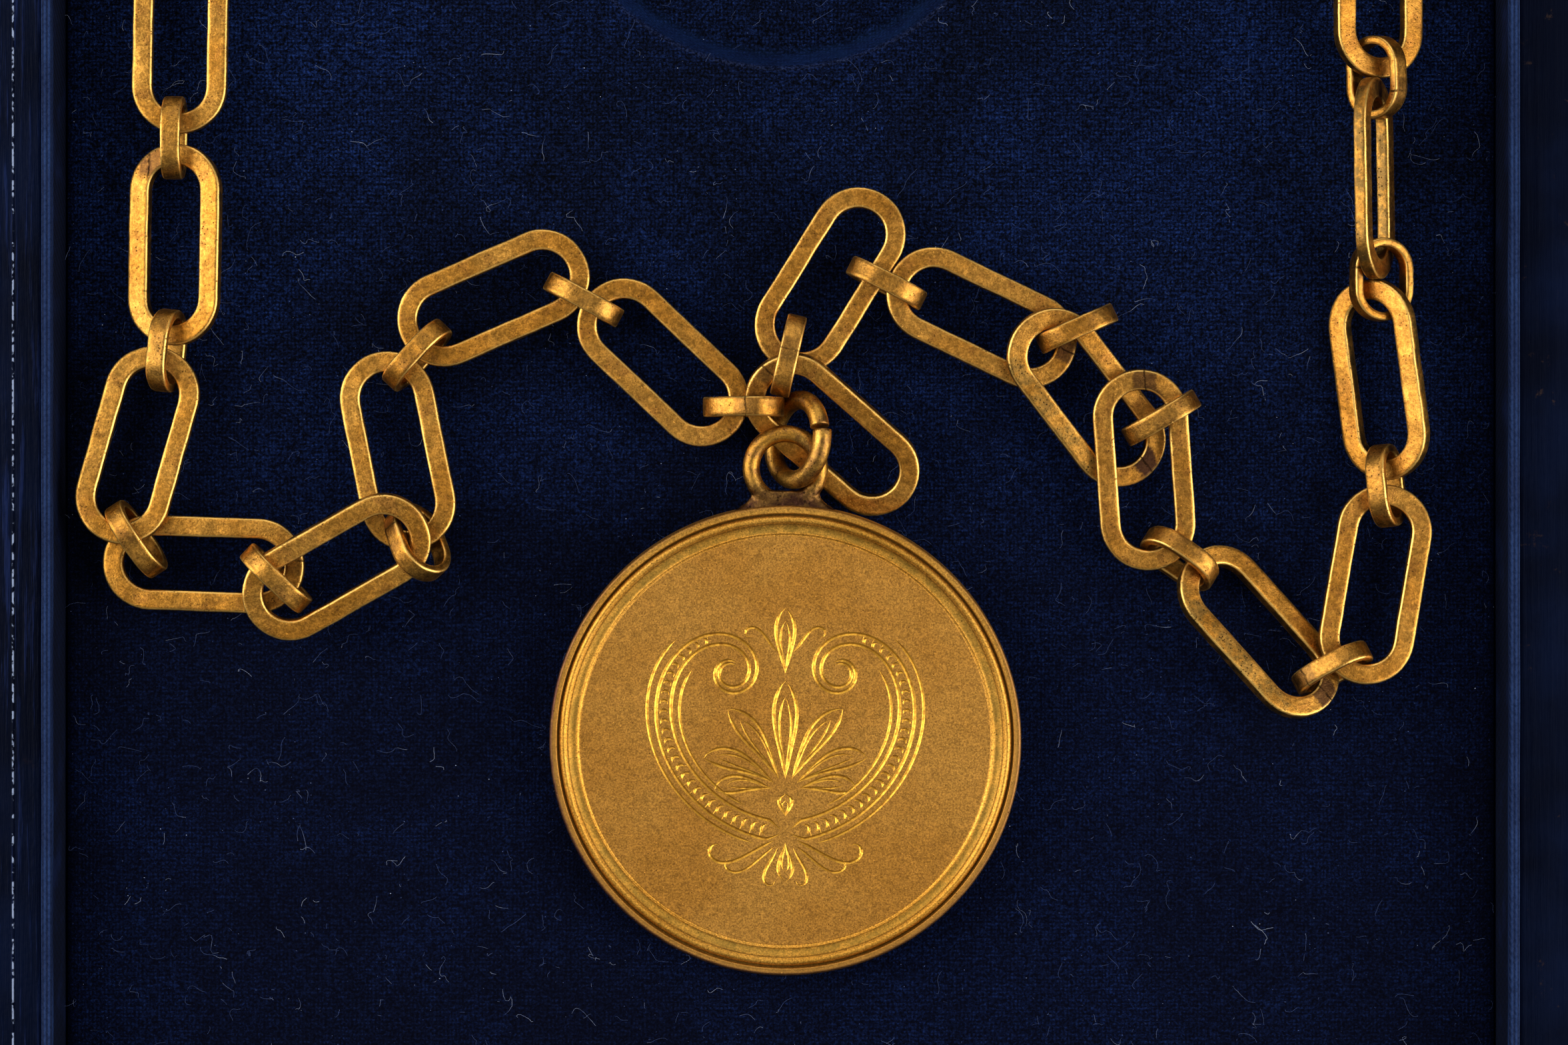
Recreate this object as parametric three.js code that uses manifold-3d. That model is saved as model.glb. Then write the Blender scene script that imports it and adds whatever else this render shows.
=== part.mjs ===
// A gilt commemorative medallion on a long-link chain, lying in an open velvet-lined case.
// Millimetres, +Z up. The origin is the middle of the case's underside, +X runs across the case
// and +Y along it, away from the medallion and towards the round well that it is stored in.
import * as THREE from "three";
import { mergeVertices } from "three/addons/utils/BufferGeometryUtils.js";
import Module from "manifold-3d";

const wasm = await Module();
wasm.setup();

// Driving dimensions, in millimetres
const gap = 0.3; // clearance left between pieces that touch

const box = {
  bedWidth: 184, // free width between the two side linings
  bedLength: 250, // free length between the two end linings
  floor: 3, // thickness of the bottom board
  pad: 12.7, // thickness of the velvet pad
  rise: 9.5, // height of the linings above the velvet
  lining: 1.4, // thickness of each lining board
  ledge: 7.5, // width of the leather ledge outside the linings
  ledgeDrop: 4, // how far the ledge lies below the linings' top
  cornerRadius: 5,
  cornerSteps: 4,
};

const well = {
  clearance: 0.9, // free space around the stored medallion
  depth: 5,
  fromFarEnd: 86, // distance of its middle from the far end of the velvet
  sides: 48,
};

const medal = {
  radius: 30,
  field: 2.4, // thickness of the disc inside its rims
  x: 0.6,
  loopFromEnd: 81.63, // distance of its loop's middle from the near end of the velvet
  propped: 3.7, // degrees: its loop rests on the middle link
  sides: 60,
};

// The mouldings of the rim, from the field outwards: how far in from the edge, and how high above the field
const rimMoulding = [
  { inward: 3.5, rise: 0 },
  { inward: 3.35, rise: 0.22 },
  { inward: 2.6, rise: 0.3 },
  { inward: 2.05, rise: 0.72 },
  { inward: 1.5, rise: 0.82 },
  { inward: 1.0, rise: 0.58 },
  { inward: 0.85, rise: 0.85 },
  { inward: 0.3, rise: 0.85 },
  { inward: 0, rise: 0.5 },
];

const eye = {
  outerRadius: 5.45, // of the round-wire loop soldered to the medallion's edge
  wire: 2.2,
  beyondEdge: 4.7, // how far its middle stands out from the medallion's edge
  neckWidth: 6.6, // of the solder neck under the loop, and of its flared foot
  footWidth: 9.6,
  neckThickness: 2.1,
  sides: 20,
  wireSides: 8,
};

const splitRing = {
  radius: 5.1, // to the middle of its wire
  wire: 2.4,
  cut: 6, // degrees of its circle that the cut takes
  cutAt: 8, // degrees from its highest point round to the cut
  x: 2.1,
  y: 85.2,
  turn: 83, // heading of its level diameter
  tilt: 54, // its right side is raised this far, in degrees
  steps: 20,
  wireSides: 8,
};

const longLink = { length: 25.7, width: 12.1, bar: 2.6, thickness: 1.7, ease: 0.3 };
const shortLink = { length: 10.6, width: 8, bar: 1.1, thickness: 2.5, ease: 0.3 };
const endSteps = 5; // straight facets in the round end of a link

// The stretch of chain that lies round the well, out of sight above the picture
const back = {
  pitch: 27.8, // from one short link to the next
  corner: 45, // radius of its two bends
  fromFarEnd: 13.5, // least distance of its middle line from the far end of the velvet
  sink: 0.9, // how far its long links lie below the middle of its short ones
};

// The velvet's top and near end, and the height at which a long link lies when it rests on its short links
const velvet = box.floor + gap + box.pad;
const nearEnd = -box.bedLength / 2;
const linkRest = shortLink.width / 2;

// The chain as it lies, from its far left end round to its far right end: long and short links take
// turns. x and y place a link's middle, y from the velvet's near end. turn is its heading along the
// chain, pitch raises its leading end and roll tips it towards its right, in degrees. lift raises it
// above where it would rest.
const lay = [
  { x: -76.5, y: 137.1, lift: 0, turn: -91, pitch: 0, roll: 0 },
  { x: -77.3, y: 123.7, lift: 0, turn: -91, pitch: 0, roll: 0 },
  { x: -77.2, y: 110.1, lift: 0, turn: -91, pitch: 0, roll: 12 },
  { x: -78.2, y: 96.6, lift: 0, turn: -96, pitch: 0, roll: 12 },
  { x: -81.8, y: 84.5, lift: 1.1, turn: -105, pitch: 5, roll: 0 },
  { x: -82.0, y: 72.6, lift: 0.5, turn: -56, pitch: -15, roll: 5 },
  { x: -73.5, y: 69.4, lift: 0, turn: -2, pitch: 0, roll: 0 },
  { x: -64.1, y: 67.6, lift: 1.6, turn: -44, pitch: -8, roll: 0 },
  { x: -56.3, y: 69.1, lift: 2.9, turn: 29.5, pitch: 2, roll: 11 },
  { x: -46.2, y: 72.2, lift: 0.8, turn: -68, pitch: 25, roll: 38 },
  { x: -48.8, y: 83.8, lift: 0, turn: 101.5, pitch: 0, roll: 0 },
  { x: -46.3, y: 96, lift: 0, turn: 47, pitch: 0, roll: -6 },
  { x: -36.6, y: 103.3, lift: 0, turn: 23.5, pitch: 0, roll: 0 },
  { x: -25.1, y: 103.1, lift: 0, turn: -28, pitch: 0, roll: 0 },
  { x: -15.0, y: 95.1, lift: 0, turn: -43.5, pitch: -1, roll: 0 },
  { x: -4.7, y: 89.4, lift: 1.4, turn: 0, pitch: 26, roll: 0 },
  { x: 6.6, y: 85.9, lift: 1.1, turn: -41, pitch: -9, roll: 14 },
  { x: 1.0, y: 95.9, lift: 1.6, turn: 77, pitch: -10, roll: 0 },
  { x: 6.3, y: 105.6, lift: 0.1, turn: 58, pitch: 0, roll: 0 },
  { x: 13.5, y: 105.2, lift: 0, turn: -27, pitch: 0, roll: 0 },
  { x: 25.6, y: 100.8, lift: 0, turn: -25.5, pitch: -2, roll: 0 },
  { x: 37.7, y: 99.4, lift: 0.6, turn: 24, pitch: 0, roll: 0 },
  { x: 38.9, y: 90.6, lift: 0.9, turn: -52, pitch: -7.5, roll: 0 },
  { x: 48.4, y: 88, lift: 1.1, turn: 30, pitch: 18, roll: 0 },
  { x: 46.2, y: 81.4, lift: 1.8, turn: -85.5, pitch: -6, roll: 3 },
  { x: 50.8, y: 70.1, lift: 0, turn: -35, pitch: 0, roll: -22 },
  { x: 60.8, y: 60.8, lift: 0.8, turn: -48, pitch: 0, roll: -24 },
  { x: 70.2, y: 56.1, lift: 0.5, turn: 30, pitch: 15, roll: -18 },
  { x: 75.7, y: 66.8, lift: 0.9, turn: 80, pitch: -3, roll: 0 },
  { x: 77.1, y: 79.4, lift: 0, turn: 96, pitch: 0, roll: -27 },
  { x: 76.2, y: 92.9, lift: 0, turn: 97.5, pitch: 0, roll: -38 },
  { x: 76.4, y: 105.6, lift: 2.7, turn: 90, pitch: 0, roll: -74 },
  { x: 75.4, y: 118.4, lift: 0, turn: 91, pitch: 0, roll: 65 },
  { x: 75.8, y: 131.3, lift: 1.2, turn: 92, pitch: 0, roll: 45 },
  { x: 76.1, y: 144.1, lift: 0.6, turn: 90, pitch: 0, roll: 20 },
];

const radians = THREE.MathUtils.degToRad;

const gilt = new THREE.MeshStandardMaterial({ color: 0xc08a35, metalness: 1, roughness: 0.45 });
const velvetPile = new THREE.MeshStandardMaterial({ color: 0x0b1638, roughness: 0.95 });
const ribbon = new THREE.MeshStandardMaterial({ color: 0x16285a, roughness: 0.8 });
const leather = new THREE.MeshStandardMaterial({ color: 0x060c24, roughness: 0.45 });

// A closed geometry as a manifold solid, and back
function solidFrom(geometry) {
  const bare = geometry.clone();
  bare.deleteAttribute("normal");
  bare.deleteAttribute("uv");
  const merged = mergeVertices(bare, 1e-4);
  return new wasm.Manifold(
    new wasm.Mesh({
      numProp: 3,
      vertProperties: merged.attributes.position.array,
      triVerts: new Uint32Array(merged.index.array),
    }),
  );
}

function geometryFrom(solid) {
  const made = solid.getMesh();
  const geometry = new THREE.BufferGeometry();
  geometry.setAttribute("position", new THREE.BufferAttribute(made.vertProperties, 3));
  geometry.setIndex(new THREE.BufferAttribute(made.triVerts, 1));
  geometry.computeVertexNormals();
  return geometry;
}

function piece(name, geometry, material) {
  const mesh = new THREE.Mesh(geometry, material);
  mesh.name = name;
  return mesh;
}

// The outline of a link: two straight sides joined by round ends, drawn as straight facets
function ovalPoints(length, width) {
  const radius = width / 2;
  const straight = length / 2 - radius;
  const points = [];
  for (const side of [1, -1]) {
    for (let i = 0; i <= endSteps; i++) {
      const angle = -Math.PI / 2 + (Math.PI * i) / endSteps;
      const x = side * (straight + radius * Math.cos(angle));
      points.push(new THREE.Vector2(x, side * radius * Math.sin(angle)));
    }
  }
  return points;
}

// An oval ring of flat bar, lying in its XY plane with its middle at the origin
function linkGeometry({ length, width, bar, thickness, ease }) {
  const outline = new THREE.Shape(ovalPoints(length - 2 * ease, width - 2 * ease));
  const inside = ovalPoints(length - 2 * bar + 2 * ease, width - 2 * bar + 2 * ease);
  outline.holes.push(new THREE.Path(inside));
  const geometry = new THREE.ExtrudeGeometry(outline, {
    depth: thickness - 2 * ease,
    bevelEnabled: ease > 0,
    bevelThickness: ease,
    bevelSize: ease,
    bevelSegments: 1,
    curveSegments: 1,
  });
  return geometry.translate(0, 0, ease - thickness / 2);
}

// Where a link lies: its heading, then its pitch, then its roll about its own length. Long links
// lie flat in the openings of the short ones, and short links stand on the velvet, unless rolled.
function linkPose(row, size, standing) {
  const roll = radians(row.roll) + (standing ? Math.PI / 2 : 0);
  const turn = new THREE.Euler(roll, -radians(row.pitch), radians(row.turn), "ZYX");
  const reach = (size.width * Math.abs(Math.sin(roll)) + size.thickness * Math.abs(Math.cos(roll))) / 2;
  const height = standing ? gap + reach : Math.max(gap + reach, linkRest);
  const middle = new THREE.Vector3(row.x, nearEnd + row.y, velvet + height + row.lift);
  return new THREE.Matrix4().makeRotationFromEuler(turn).setPosition(middle);
}

function placed(mesh, pose) {
  mesh.applyMatrix4(pose);
  return mesh;
}

function chain() {
  const group = new THREE.Group();
  const longGeometry = linkGeometry(longLink);
  const shortGeometry = linkGeometry(shortLink);
  lay.forEach((row, i) => {
    const number = String(Math.floor(i / 2) + 1).padStart(2, "0");
    if (i % 2 === 0) {
      group.add(placed(piece(`long_link_${number}`, longGeometry, gilt), linkPose(row, longLink, false)));
    } else {
      group.add(placed(piece(`short_link_${number}`, shortGeometry, gilt), linkPose(row, shortLink, true)));
    }
  });
  return group;
}

// How many long links the hidden stretch has: as many as the case has room for
function hiddenLinks(start, end) {
  const rise = box.bedLength - back.fromFarEnd - back.corner;
  const across = end.x - start.x - 2 * back.corner;
  const room = 2 * rise - start.y - end.y + Math.PI * back.corner + across;
  return Math.floor(room / back.pitch);
}

// A point at a distance along the way round the well: up the left side, across, and down the right
function wayRound(start, end, distance, links) {
  const across = end.x - start.x - 2 * back.corner;
  const bend = (Math.PI / 2) * back.corner;
  const total = links * back.pitch;
  const rise = (total - 2 * bend - across + start.y + end.y) / 2;
  const legs = [rise - start.y, bend, across, bend];
  let left = distance;
  if (left < legs[0]) return new THREE.Vector2(start.x, start.y + left);
  left -= legs[0];
  if (left < legs[1]) {
    const angle = left / back.corner;
    const x = start.x + back.corner * (1 - Math.cos(angle));
    return new THREE.Vector2(x, rise + back.corner * Math.sin(angle));
  }
  left -= legs[1];
  if (left < legs[2]) return new THREE.Vector2(start.x + back.corner + left, rise + back.corner);
  left -= legs[2];
  if (left < legs[3]) {
    const angle = left / back.corner;
    const x = end.x - back.corner * (1 - Math.sin(angle));
    return new THREE.Vector2(x, rise + back.corner * Math.cos(angle));
  }
  return new THREE.Vector2(end.x, rise - (left - legs[3]));
}

// The hidden stretch from the first link round to the last: its links touch and are one body
function chainBack() {
  const toRing = longLink.length / 2 - longLink.bar / 2 + 1.9;
  const first = lay[0];
  const last = lay[lay.length - 1];
  const start = new THREE.Vector2(first.x, first.y + toRing);
  const end = new THREE.Vector2(last.x, last.y + toRing);
  const links = hiddenLinks(start, end);
  const joints = [];
  for (let i = 0; i <= links; i++) joints.push(wayRound(start, end, i * back.pitch, links));
  const headings = [90];
  for (let i = 1; i <= links; i++) {
    const step = joints[i].clone().sub(joints[i - 1]);
    headings.push(THREE.MathUtils.radToDeg(Math.atan2(step.y, step.x)));
  }
  headings.push(-90);
  const drop = gap + shortLink.width / 2 - back.sink - linkRest;
  let body = null;
  const join = (geometry, pose) => {
    const solid = solidFrom(geometry.clone().applyMatrix4(pose));
    body = body ? body.add(solid) : solid;
  };
  joints.forEach((joint, i) => {
    const turn = (headings[i] + headings[i + 1]) / 2;
    const ring = { x: joint.x, y: joint.y, lift: 0, turn, pitch: 0, roll: 0 };
    join(linkGeometry(shortLink), linkPose(ring, shortLink, true));
    if (i === 0) return;
    const middle = joints[i - 1].clone().add(joint).multiplyScalar(0.5);
    const link = { x: middle.x, y: middle.y, lift: drop, turn: headings[i], pitch: 0, roll: 0 };
    join(linkGeometry(longLink), linkPose(link, longLink, false));
  });
  return piece("chain_back", geometryFrom(body), gilt);
}

// The solder neck between the medallion's edge and its loop, wider at its foot
function neckGeometry() {
  const foot = medal.radius - 1.2;
  const top = medal.radius + 1.9;
  const outline = new THREE.Shape([
    new THREE.Vector2(-eye.footWidth / 2, foot),
    new THREE.Vector2(eye.footWidth / 2, foot),
    new THREE.Vector2(eye.neckWidth / 2, medal.radius + 0.7),
    new THREE.Vector2(eye.neckWidth / 2, top),
    new THREE.Vector2(-eye.neckWidth / 2, top),
    new THREE.Vector2(-eye.neckWidth / 2, medal.radius + 0.7),
  ]);
  const geometry = new THREE.ExtrudeGeometry(outline, { depth: eye.neckThickness, bevelEnabled: false });
  return geometry.translate(0, 0, -eye.neckThickness / 2);
}

// The medallion's disc and its soldered loop, one solid, lying with its middle at the origin
function medallionGeometry() {
  const half = medal.field / 2;
  const front = rimMoulding.map(({ inward, rise }) => new THREE.Vector2(medal.radius - inward, half + rise));
  const back = rimMoulding.map(({ inward, rise }) => new THREE.Vector2(medal.radius - inward, -half - rise));
  const profile = [new THREE.Vector2(0, -half), ...back, ...front.reverse(), new THREE.Vector2(0, half)];
  const disc = new THREE.LatheGeometry(profile, medal.sides).rotateX(Math.PI / 2);
  const loopRadius = eye.outerRadius - eye.wire / 2;
  const loop = new THREE.TorusGeometry(loopRadius, eye.wire / 2, eye.wireSides, eye.sides);
  loop.translate(0, medal.radius + eye.beyondEdge, 0);
  const solids = [disc, loop, neckGeometry()].map(solidFrom);
  return geometryFrom(solids[0].add(solids[1]).add(solids[2]));
}

function medallion() {
  const mesh = piece("medallion", medallionGeometry(), gilt);
  const rimHeight = medal.field / 2 + Math.max(...rimMoulding.map((m) => m.rise));
  const prop = radians(medal.propped);
  const loopOut = (medal.radius + eye.beyondEdge) * Math.cos(prop);
  mesh.rotation.x = prop;
  mesh.position.set(
    medal.x,
    nearEnd + medal.loopFromEnd - loopOut,
    velvet + gap + rimHeight + medal.radius * Math.sin(prop),
  );
  return mesh;
}

// The split ring that holds the medallion's loop to the middle link: round wire bent round to a cut
function splitRingPiece() {
  const open = radians(splitRing.cut / 2);
  class Bend extends THREE.Curve {
    getPoint(t, target = new THREE.Vector3()) {
      const angle = open + t * (2 * Math.PI - 2 * open);
      return target.set(splitRing.radius * Math.cos(angle), splitRing.radius * Math.sin(angle), 0);
    }
  }
  const section = new THREE.Shape();
  section.absarc(0, 0, splitRing.wire / 2, 0, 2 * Math.PI);
  const geometry = new THREE.ExtrudeGeometry(section, {
    steps: splitRing.steps,
    curveSegments: splitRing.wireSides / 2,
    extrudePath: new Bend(),
  });
  geometry.rotateZ(radians(splitRing.cutAt - 90));
  const mesh = piece("split_ring", geometry, gilt);
  const tilt = new THREE.Euler(-radians(splitRing.tilt), 0, radians(splitRing.turn), "ZYX");
  mesh.rotation.copy(tilt);
  const highest = splitRing.radius * Math.sin(radians(splitRing.tilt));
  mesh.position.set(splitRing.x, nearEnd + splitRing.y, velvet + 2 * gap + splitRing.wire / 2 + highest);
  return mesh;
}

// A rounded rectangle about the origin
function roundedRectangle(width, length, radius) {
  const shape = new THREE.Shape();
  const x = width / 2 - radius;
  const y = length / 2 - radius;
  shape.absarc(x, y, radius, 0, Math.PI / 2);
  shape.absarc(-x, y, radius, Math.PI / 2, Math.PI);
  shape.absarc(-x, -y, radius, Math.PI, 1.5 * Math.PI);
  shape.absarc(x, -y, radius, 1.5 * Math.PI, 2 * Math.PI);
  return shape;
}

function block(x0, x1, y0, y1, z0, z1) {
  const geometry = new THREE.BoxGeometry(x1 - x0, y1 - y0, z1 - z0);
  return geometry.translate((x0 + x1) / 2, (y0 + y1) / 2, (z0 + z1) / 2);
}

// A round post standing in the middle of the well
function upright(radius, z0, z1) {
  const post = new THREE.CylinderGeometry(radius, radius, z1 - z0, well.sides);
  return post.rotateX(Math.PI / 2).translate(0, box.bedLength / 2 - well.fromFarEnd, (z0 + z1) / 2);
}

function openCase() {
  const group = new THREE.Group();
  const pocketWidth = box.bedWidth + 2 * (box.lining + gap);
  const pocketLength = box.bedLength + 2 * (box.lining + gap);
  const top = velvet + box.rise;
  const ledgeTop = top - box.ledgeDrop;
  const outline = roundedRectangle(pocketWidth + 2 * box.ledge, pocketLength + 2 * box.ledge, box.cornerRadius);
  const shell = solidFrom(
    new THREE.ExtrudeGeometry(outline, { depth: ledgeTop, bevelEnabled: false, curveSegments: box.cornerSteps }),
  );
  const pocket = solidFrom(
    block(-pocketWidth / 2, pocketWidth / 2, -pocketLength / 2, pocketLength / 2, box.floor, ledgeTop + 1),
  );
  group.add(piece("case_shell", geometryFrom(shell.subtract(pocket)), leather));

  const x = box.bedWidth / 2;
  const y = box.bedLength / 2;
  const foot = box.floor + gap;
  group.add(piece("lining_left", block(-x - box.lining, -x, -y - box.lining, y + box.lining, foot, top), ribbon));
  group.add(piece("lining_right", block(x, x + box.lining, -y - box.lining, y + box.lining, foot, top), ribbon));
  group.add(piece("lining_near", block(gap - x, x - gap, -y - box.lining, -y, foot, top), ribbon));
  group.add(piece("lining_far", block(gap - x, x - gap, y, y + box.lining, foot, top), ribbon));

  const pad = solidFrom(block(gap - x, x - gap, gap - y, y - gap, foot, velvet));
  const wellRadius = medal.radius + well.clearance;
  const hole = upright(wellRadius, foot - 1, velvet + 1);
  group.add(piece("velvet_pad", geometryFrom(pad.subtract(solidFrom(hole))), velvetPile));
  group.add(piece("well_floor", upright(wellRadius - gap, foot, velvet - well.depth), velvetPile));
  return group;
}

const part = new THREE.Group();
part.add(openCase(), chain(), chainBack(), splitRingPiece(), medallion());

export default part;
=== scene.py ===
"""A gilt commemorative medallion on a long-link chain, in an open case lined with navy velvet.

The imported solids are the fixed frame. Each operator below makes one piece, or one group of like
pieces, in metres and in the frame's own place: X across the case, Y along it, Z up.
"""

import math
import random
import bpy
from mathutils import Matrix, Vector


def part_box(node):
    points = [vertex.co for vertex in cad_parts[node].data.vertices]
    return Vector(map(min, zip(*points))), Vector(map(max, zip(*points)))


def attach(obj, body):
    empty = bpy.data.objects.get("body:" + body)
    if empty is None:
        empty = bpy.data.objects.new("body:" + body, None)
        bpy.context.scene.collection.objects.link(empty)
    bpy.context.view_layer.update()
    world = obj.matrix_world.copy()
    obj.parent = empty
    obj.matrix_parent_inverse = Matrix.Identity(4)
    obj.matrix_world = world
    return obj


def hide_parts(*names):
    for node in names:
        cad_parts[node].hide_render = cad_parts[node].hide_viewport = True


bl_info = {
    "name": "Cased medallion and chain",
    "version": (1, 0, 0),
    "blender": (4, 5, 0),
    "location": "View3D > Sidebar > Medallion",
    "description": "Makes a gilt medallion, its chain and its velvet-lined case",
    "category": "Object",
}

import bmesh
import bpy
import numpy as np
from mathutils import Matrix, Vector, geometry, noise

MM = 0.001
ROOT = "root"

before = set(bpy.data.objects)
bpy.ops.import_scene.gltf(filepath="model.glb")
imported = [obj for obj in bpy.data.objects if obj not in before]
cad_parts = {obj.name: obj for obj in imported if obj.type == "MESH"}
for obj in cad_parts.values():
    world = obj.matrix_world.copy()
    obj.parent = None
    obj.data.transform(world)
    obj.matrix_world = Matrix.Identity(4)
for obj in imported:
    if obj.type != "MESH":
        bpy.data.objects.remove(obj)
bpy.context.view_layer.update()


# Small tools for node trees


class Wiring:
    """Adds nodes to a shader or geometry tree. Settings are the node's own, plugs are its inputs."""

    def __init__(self, tree):
        self.tree = tree

    def add(self, kind, plugs=None, **settings):
        node = self.tree.nodes.new(kind)
        for name, value in settings.items():
            setattr(node, name, value)
        for name, value in (plugs or {}).items():
            self.plug(node.inputs[name], value)
        return node

    def plug(self, socket, value):
        """Gives an input a constant, another node's output, or the first output of a node."""
        if isinstance(value, bpy.types.Node):
            value = value.outputs[0]
        if isinstance(value, bpy.types.NodeSocket):
            self.tree.links.new(value, socket)
        else:
            socket.default_value = value

    def math(self, operation, a, b=0.0, clamp=False):
        """Works on one or two numbers."""
        node = self.add("ShaderNodeMath", {0: a, 1: b}, operation=operation, use_clamp=clamp)
        return node.outputs[0]

    def product(self, *values):
        """All the values multiplied."""
        result = values[0]
        for value in values[1:]:
            result = self.math("MULTIPLY", result, value)
        return result

    def between(self, value, low, high, out_low=0.0, out_high=1.0):
        """Runs smoothly from out_low to out_high as value goes from low to high."""
        plugs = {"Value": value, "From Min": low, "From Max": high, "To Min": out_low, "To Max": out_high}
        node = self.add("ShaderNodeMapRange", plugs, interpolation_type="SMOOTHSTEP")
        return node.outputs["Result"]

    def below(self, value, full, end):
        """1 where value is under full, down to 0 where it reaches end."""
        return self.between(value, full, end, 1.0, 0.0)

    def stripe(self, value, start, full, ebb, end):
        """1 from full to ebb, and 0 before start and after end."""
        return self.product(self.between(value, start, full), self.below(value, ebb, end))

    def blend(self, amount, a, b, kind="MIX"):
        """Colour a where amount is 0, b where it is 1."""
        node = self.add("ShaderNodeMix", data_type="RGBA", blend_type=kind)
        self.plug(node.inputs["Factor"], amount)
        self.plug(node.inputs[6], a)
        self.plug(node.inputs[7], b)
        return node.outputs[2]

    def cloud(self, where, scale, detail=3.0, roughness=0.55, distortion=0.0):
        """Soft noise round 0.5. A scale of 1 has patches about a millimetre across."""
        plugs = {"Vector": where, "Scale": scale, "Detail": detail, "Roughness": roughness}
        plugs["Distortion"] = distortion
        return self.add("ShaderNodeTexNoise", plugs).outputs["Fac"]

    def cells(self, where, scale, feature="F1"):
        """The distance to the nearest of many scattered spots."""
        plugs = {"Vector": where, "Scale": scale}
        return self.add("ShaderNodeTexVoronoi", plugs, feature=feature).outputs["Distance"]

    def attribute(self, name, output="Fac"):
        """What was stored at each point of the mesh under this name."""
        node = self.add("ShaderNodeAttribute", attribute_name=name, attribute_type="GEOMETRY")
        return node.outputs[output]

    def vector(self, operation, a, b):
        """Works on vectors. Where one is scaled, b is a number."""
        other = "Scale" if operation == "SCALE" else 1
        return self.add("ShaderNodeVectorMath", {0: a, other: b}, operation=operation)

    def split(self, vector):
        return self.add("ShaderNodeSeparateXYZ", {"Vector": vector}).outputs

    def bump(self, height, distance, under=None):
        """Relief of this height, over any relief under it."""
        plugs = {"Height": height, "Distance": distance, "Strength": 1.0}
        if under is not None:
            plugs["Normal"] = under
        return self.add("ShaderNodeBump", plugs).outputs["Normal"]


def new_material(name, metallic=0.0, **constants):
    """A material with its wiring, its shader and its place in millimetres."""
    material = bpy.data.materials.new(name)
    material.use_nodes = True
    material.node_tree.nodes.clear()
    wires = Wiring(material.node_tree)
    shader = wires.add("ShaderNodeBsdfPrincipled", {"Metallic": metallic, **constants})
    wires.add("ShaderNodeOutputMaterial", {"Surface": shader})
    place = wires.add("ShaderNodeTexCoord").outputs["Object"]
    where = wires.add("ShaderNodeMapping", {"Vector": place, "Scale": (1 / MM, 1 / MM, 1 / MM)})
    return material, wires, shader, where.outputs[0]


def shade(hex_colour):
    """A colour written as on a screen, as the linear numbers that nodes take."""
    parts = [int(hex_colour[i : i + 2], 16) / 255 for i in (0, 2, 4)]
    linear = [c / 12.92 if c <= 0.04045 else ((c + 0.055) / 1.055) ** 2.4 for c in parts]
    return (*linear, 1.0)


# Finishes


def worn_link(wires, where, kind, mottle, patch, colour, dark):
    """A link's browner gold, its solder seam with a stain round it, and its rubbed edges."""
    x, y, z = wires.split(wires.attribute("local", "Vector"))
    seam, beside, strength = wires.split(wires.attribute("seam", "Vector"))
    wobble = wires.math("MULTIPLY", wires.math("SUBTRACT", mottle, 0.5), 0.9)
    across, _, _ = wires.split(where)
    colour = wires.blend(wires.between(across, -80.0, 40.0, 0.5, 0.6), colour, shade("9c6428"))
    coarse = wires.between(wires.cloud(where, 1.7, 3.0, 0.7), 0.34, 0.66, 0.72, 1.24)
    colour = wires.blend(1.0, colour, coarse, "MULTIPLY")
    if kind == "long":
        along = wires.math("MULTIPLY", x, wires.math("SIGN", seam))
        at_end = wires.between(along, 7.8, 9.4)
        off_seam = wires.math("SUBTRACT", wires.math("ADD", y, wobble), beside)
    else:
        at_end = wires.between(y, 0.6, 1.6)
        off_seam = wires.math("SUBTRACT", wires.math("ADD", x, wobble), seam)
    off_seam = wires.math("ABSOLUTE", off_seam)
    # The stain with its ragged edge, then the thin broken line of the seam itself
    ragged = wires.math("MULTIPLY", wires.math("SUBTRACT", patch, 0.5), 2.6)
    ragged = wires.math("ADD", off_seam, ragged)
    halo = wires.product(wires.below(ragged, 1.2, 1.8), at_end, strength)
    colour = wires.blend(wires.product(halo, 0.92), colour, shade("341f1c"))
    line = wires.product(wires.below(off_seam, 0.05, 0.2), at_end)
    broken = wires.between(mottle, 0.35, 0.6, 0.4, 0.85)
    line = wires.product(line, broken, wires.between(strength, 0.05, 0.3))
    dark = wires.math("MAXIMUM", dark, line)
    if kind == "long":
        # Pits and verdigris on one leg of the worst links
        leg = wires.product(
            wires.below(y, -4.2, -3.4), wires.between(strength, 0.8, 0.9), wires.between(patch, 0.42, 0.54)
        )
        speckled = wires.below(wires.cells(where, 2.3), 0.16, 0.34)
        dark = wires.math("MAXIMUM", dark, wires.product(leg, speckled, 0.9))
        colour = wires.blend(wires.product(leg, 0.4), colour, shade("5c5a34"))
    # The rubbed edge of the bar and its duller side. Its face lies half its thickness from the middle.
    face, dulled = (0.85, 0.75) if kind == "long" else (1.25, 0.25)
    height = wires.math("ABSOLUTE", z)
    rubbed = wires.stripe(height, face - 0.24, face - 0.14, face - 0.05, face)
    colour = wires.blend(wires.product(rubbed, 0.7), colour, shade("f0c066"))
    side = wires.below(height, face - 0.35, face - 0.15)
    spots = wires.product(wires.between(patch, 0.42, 0.56, 0.3, 1.0), side, dulled)
    colour = wires.blend(spots, colour, shade("564828"))
    return colour, dark


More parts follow.
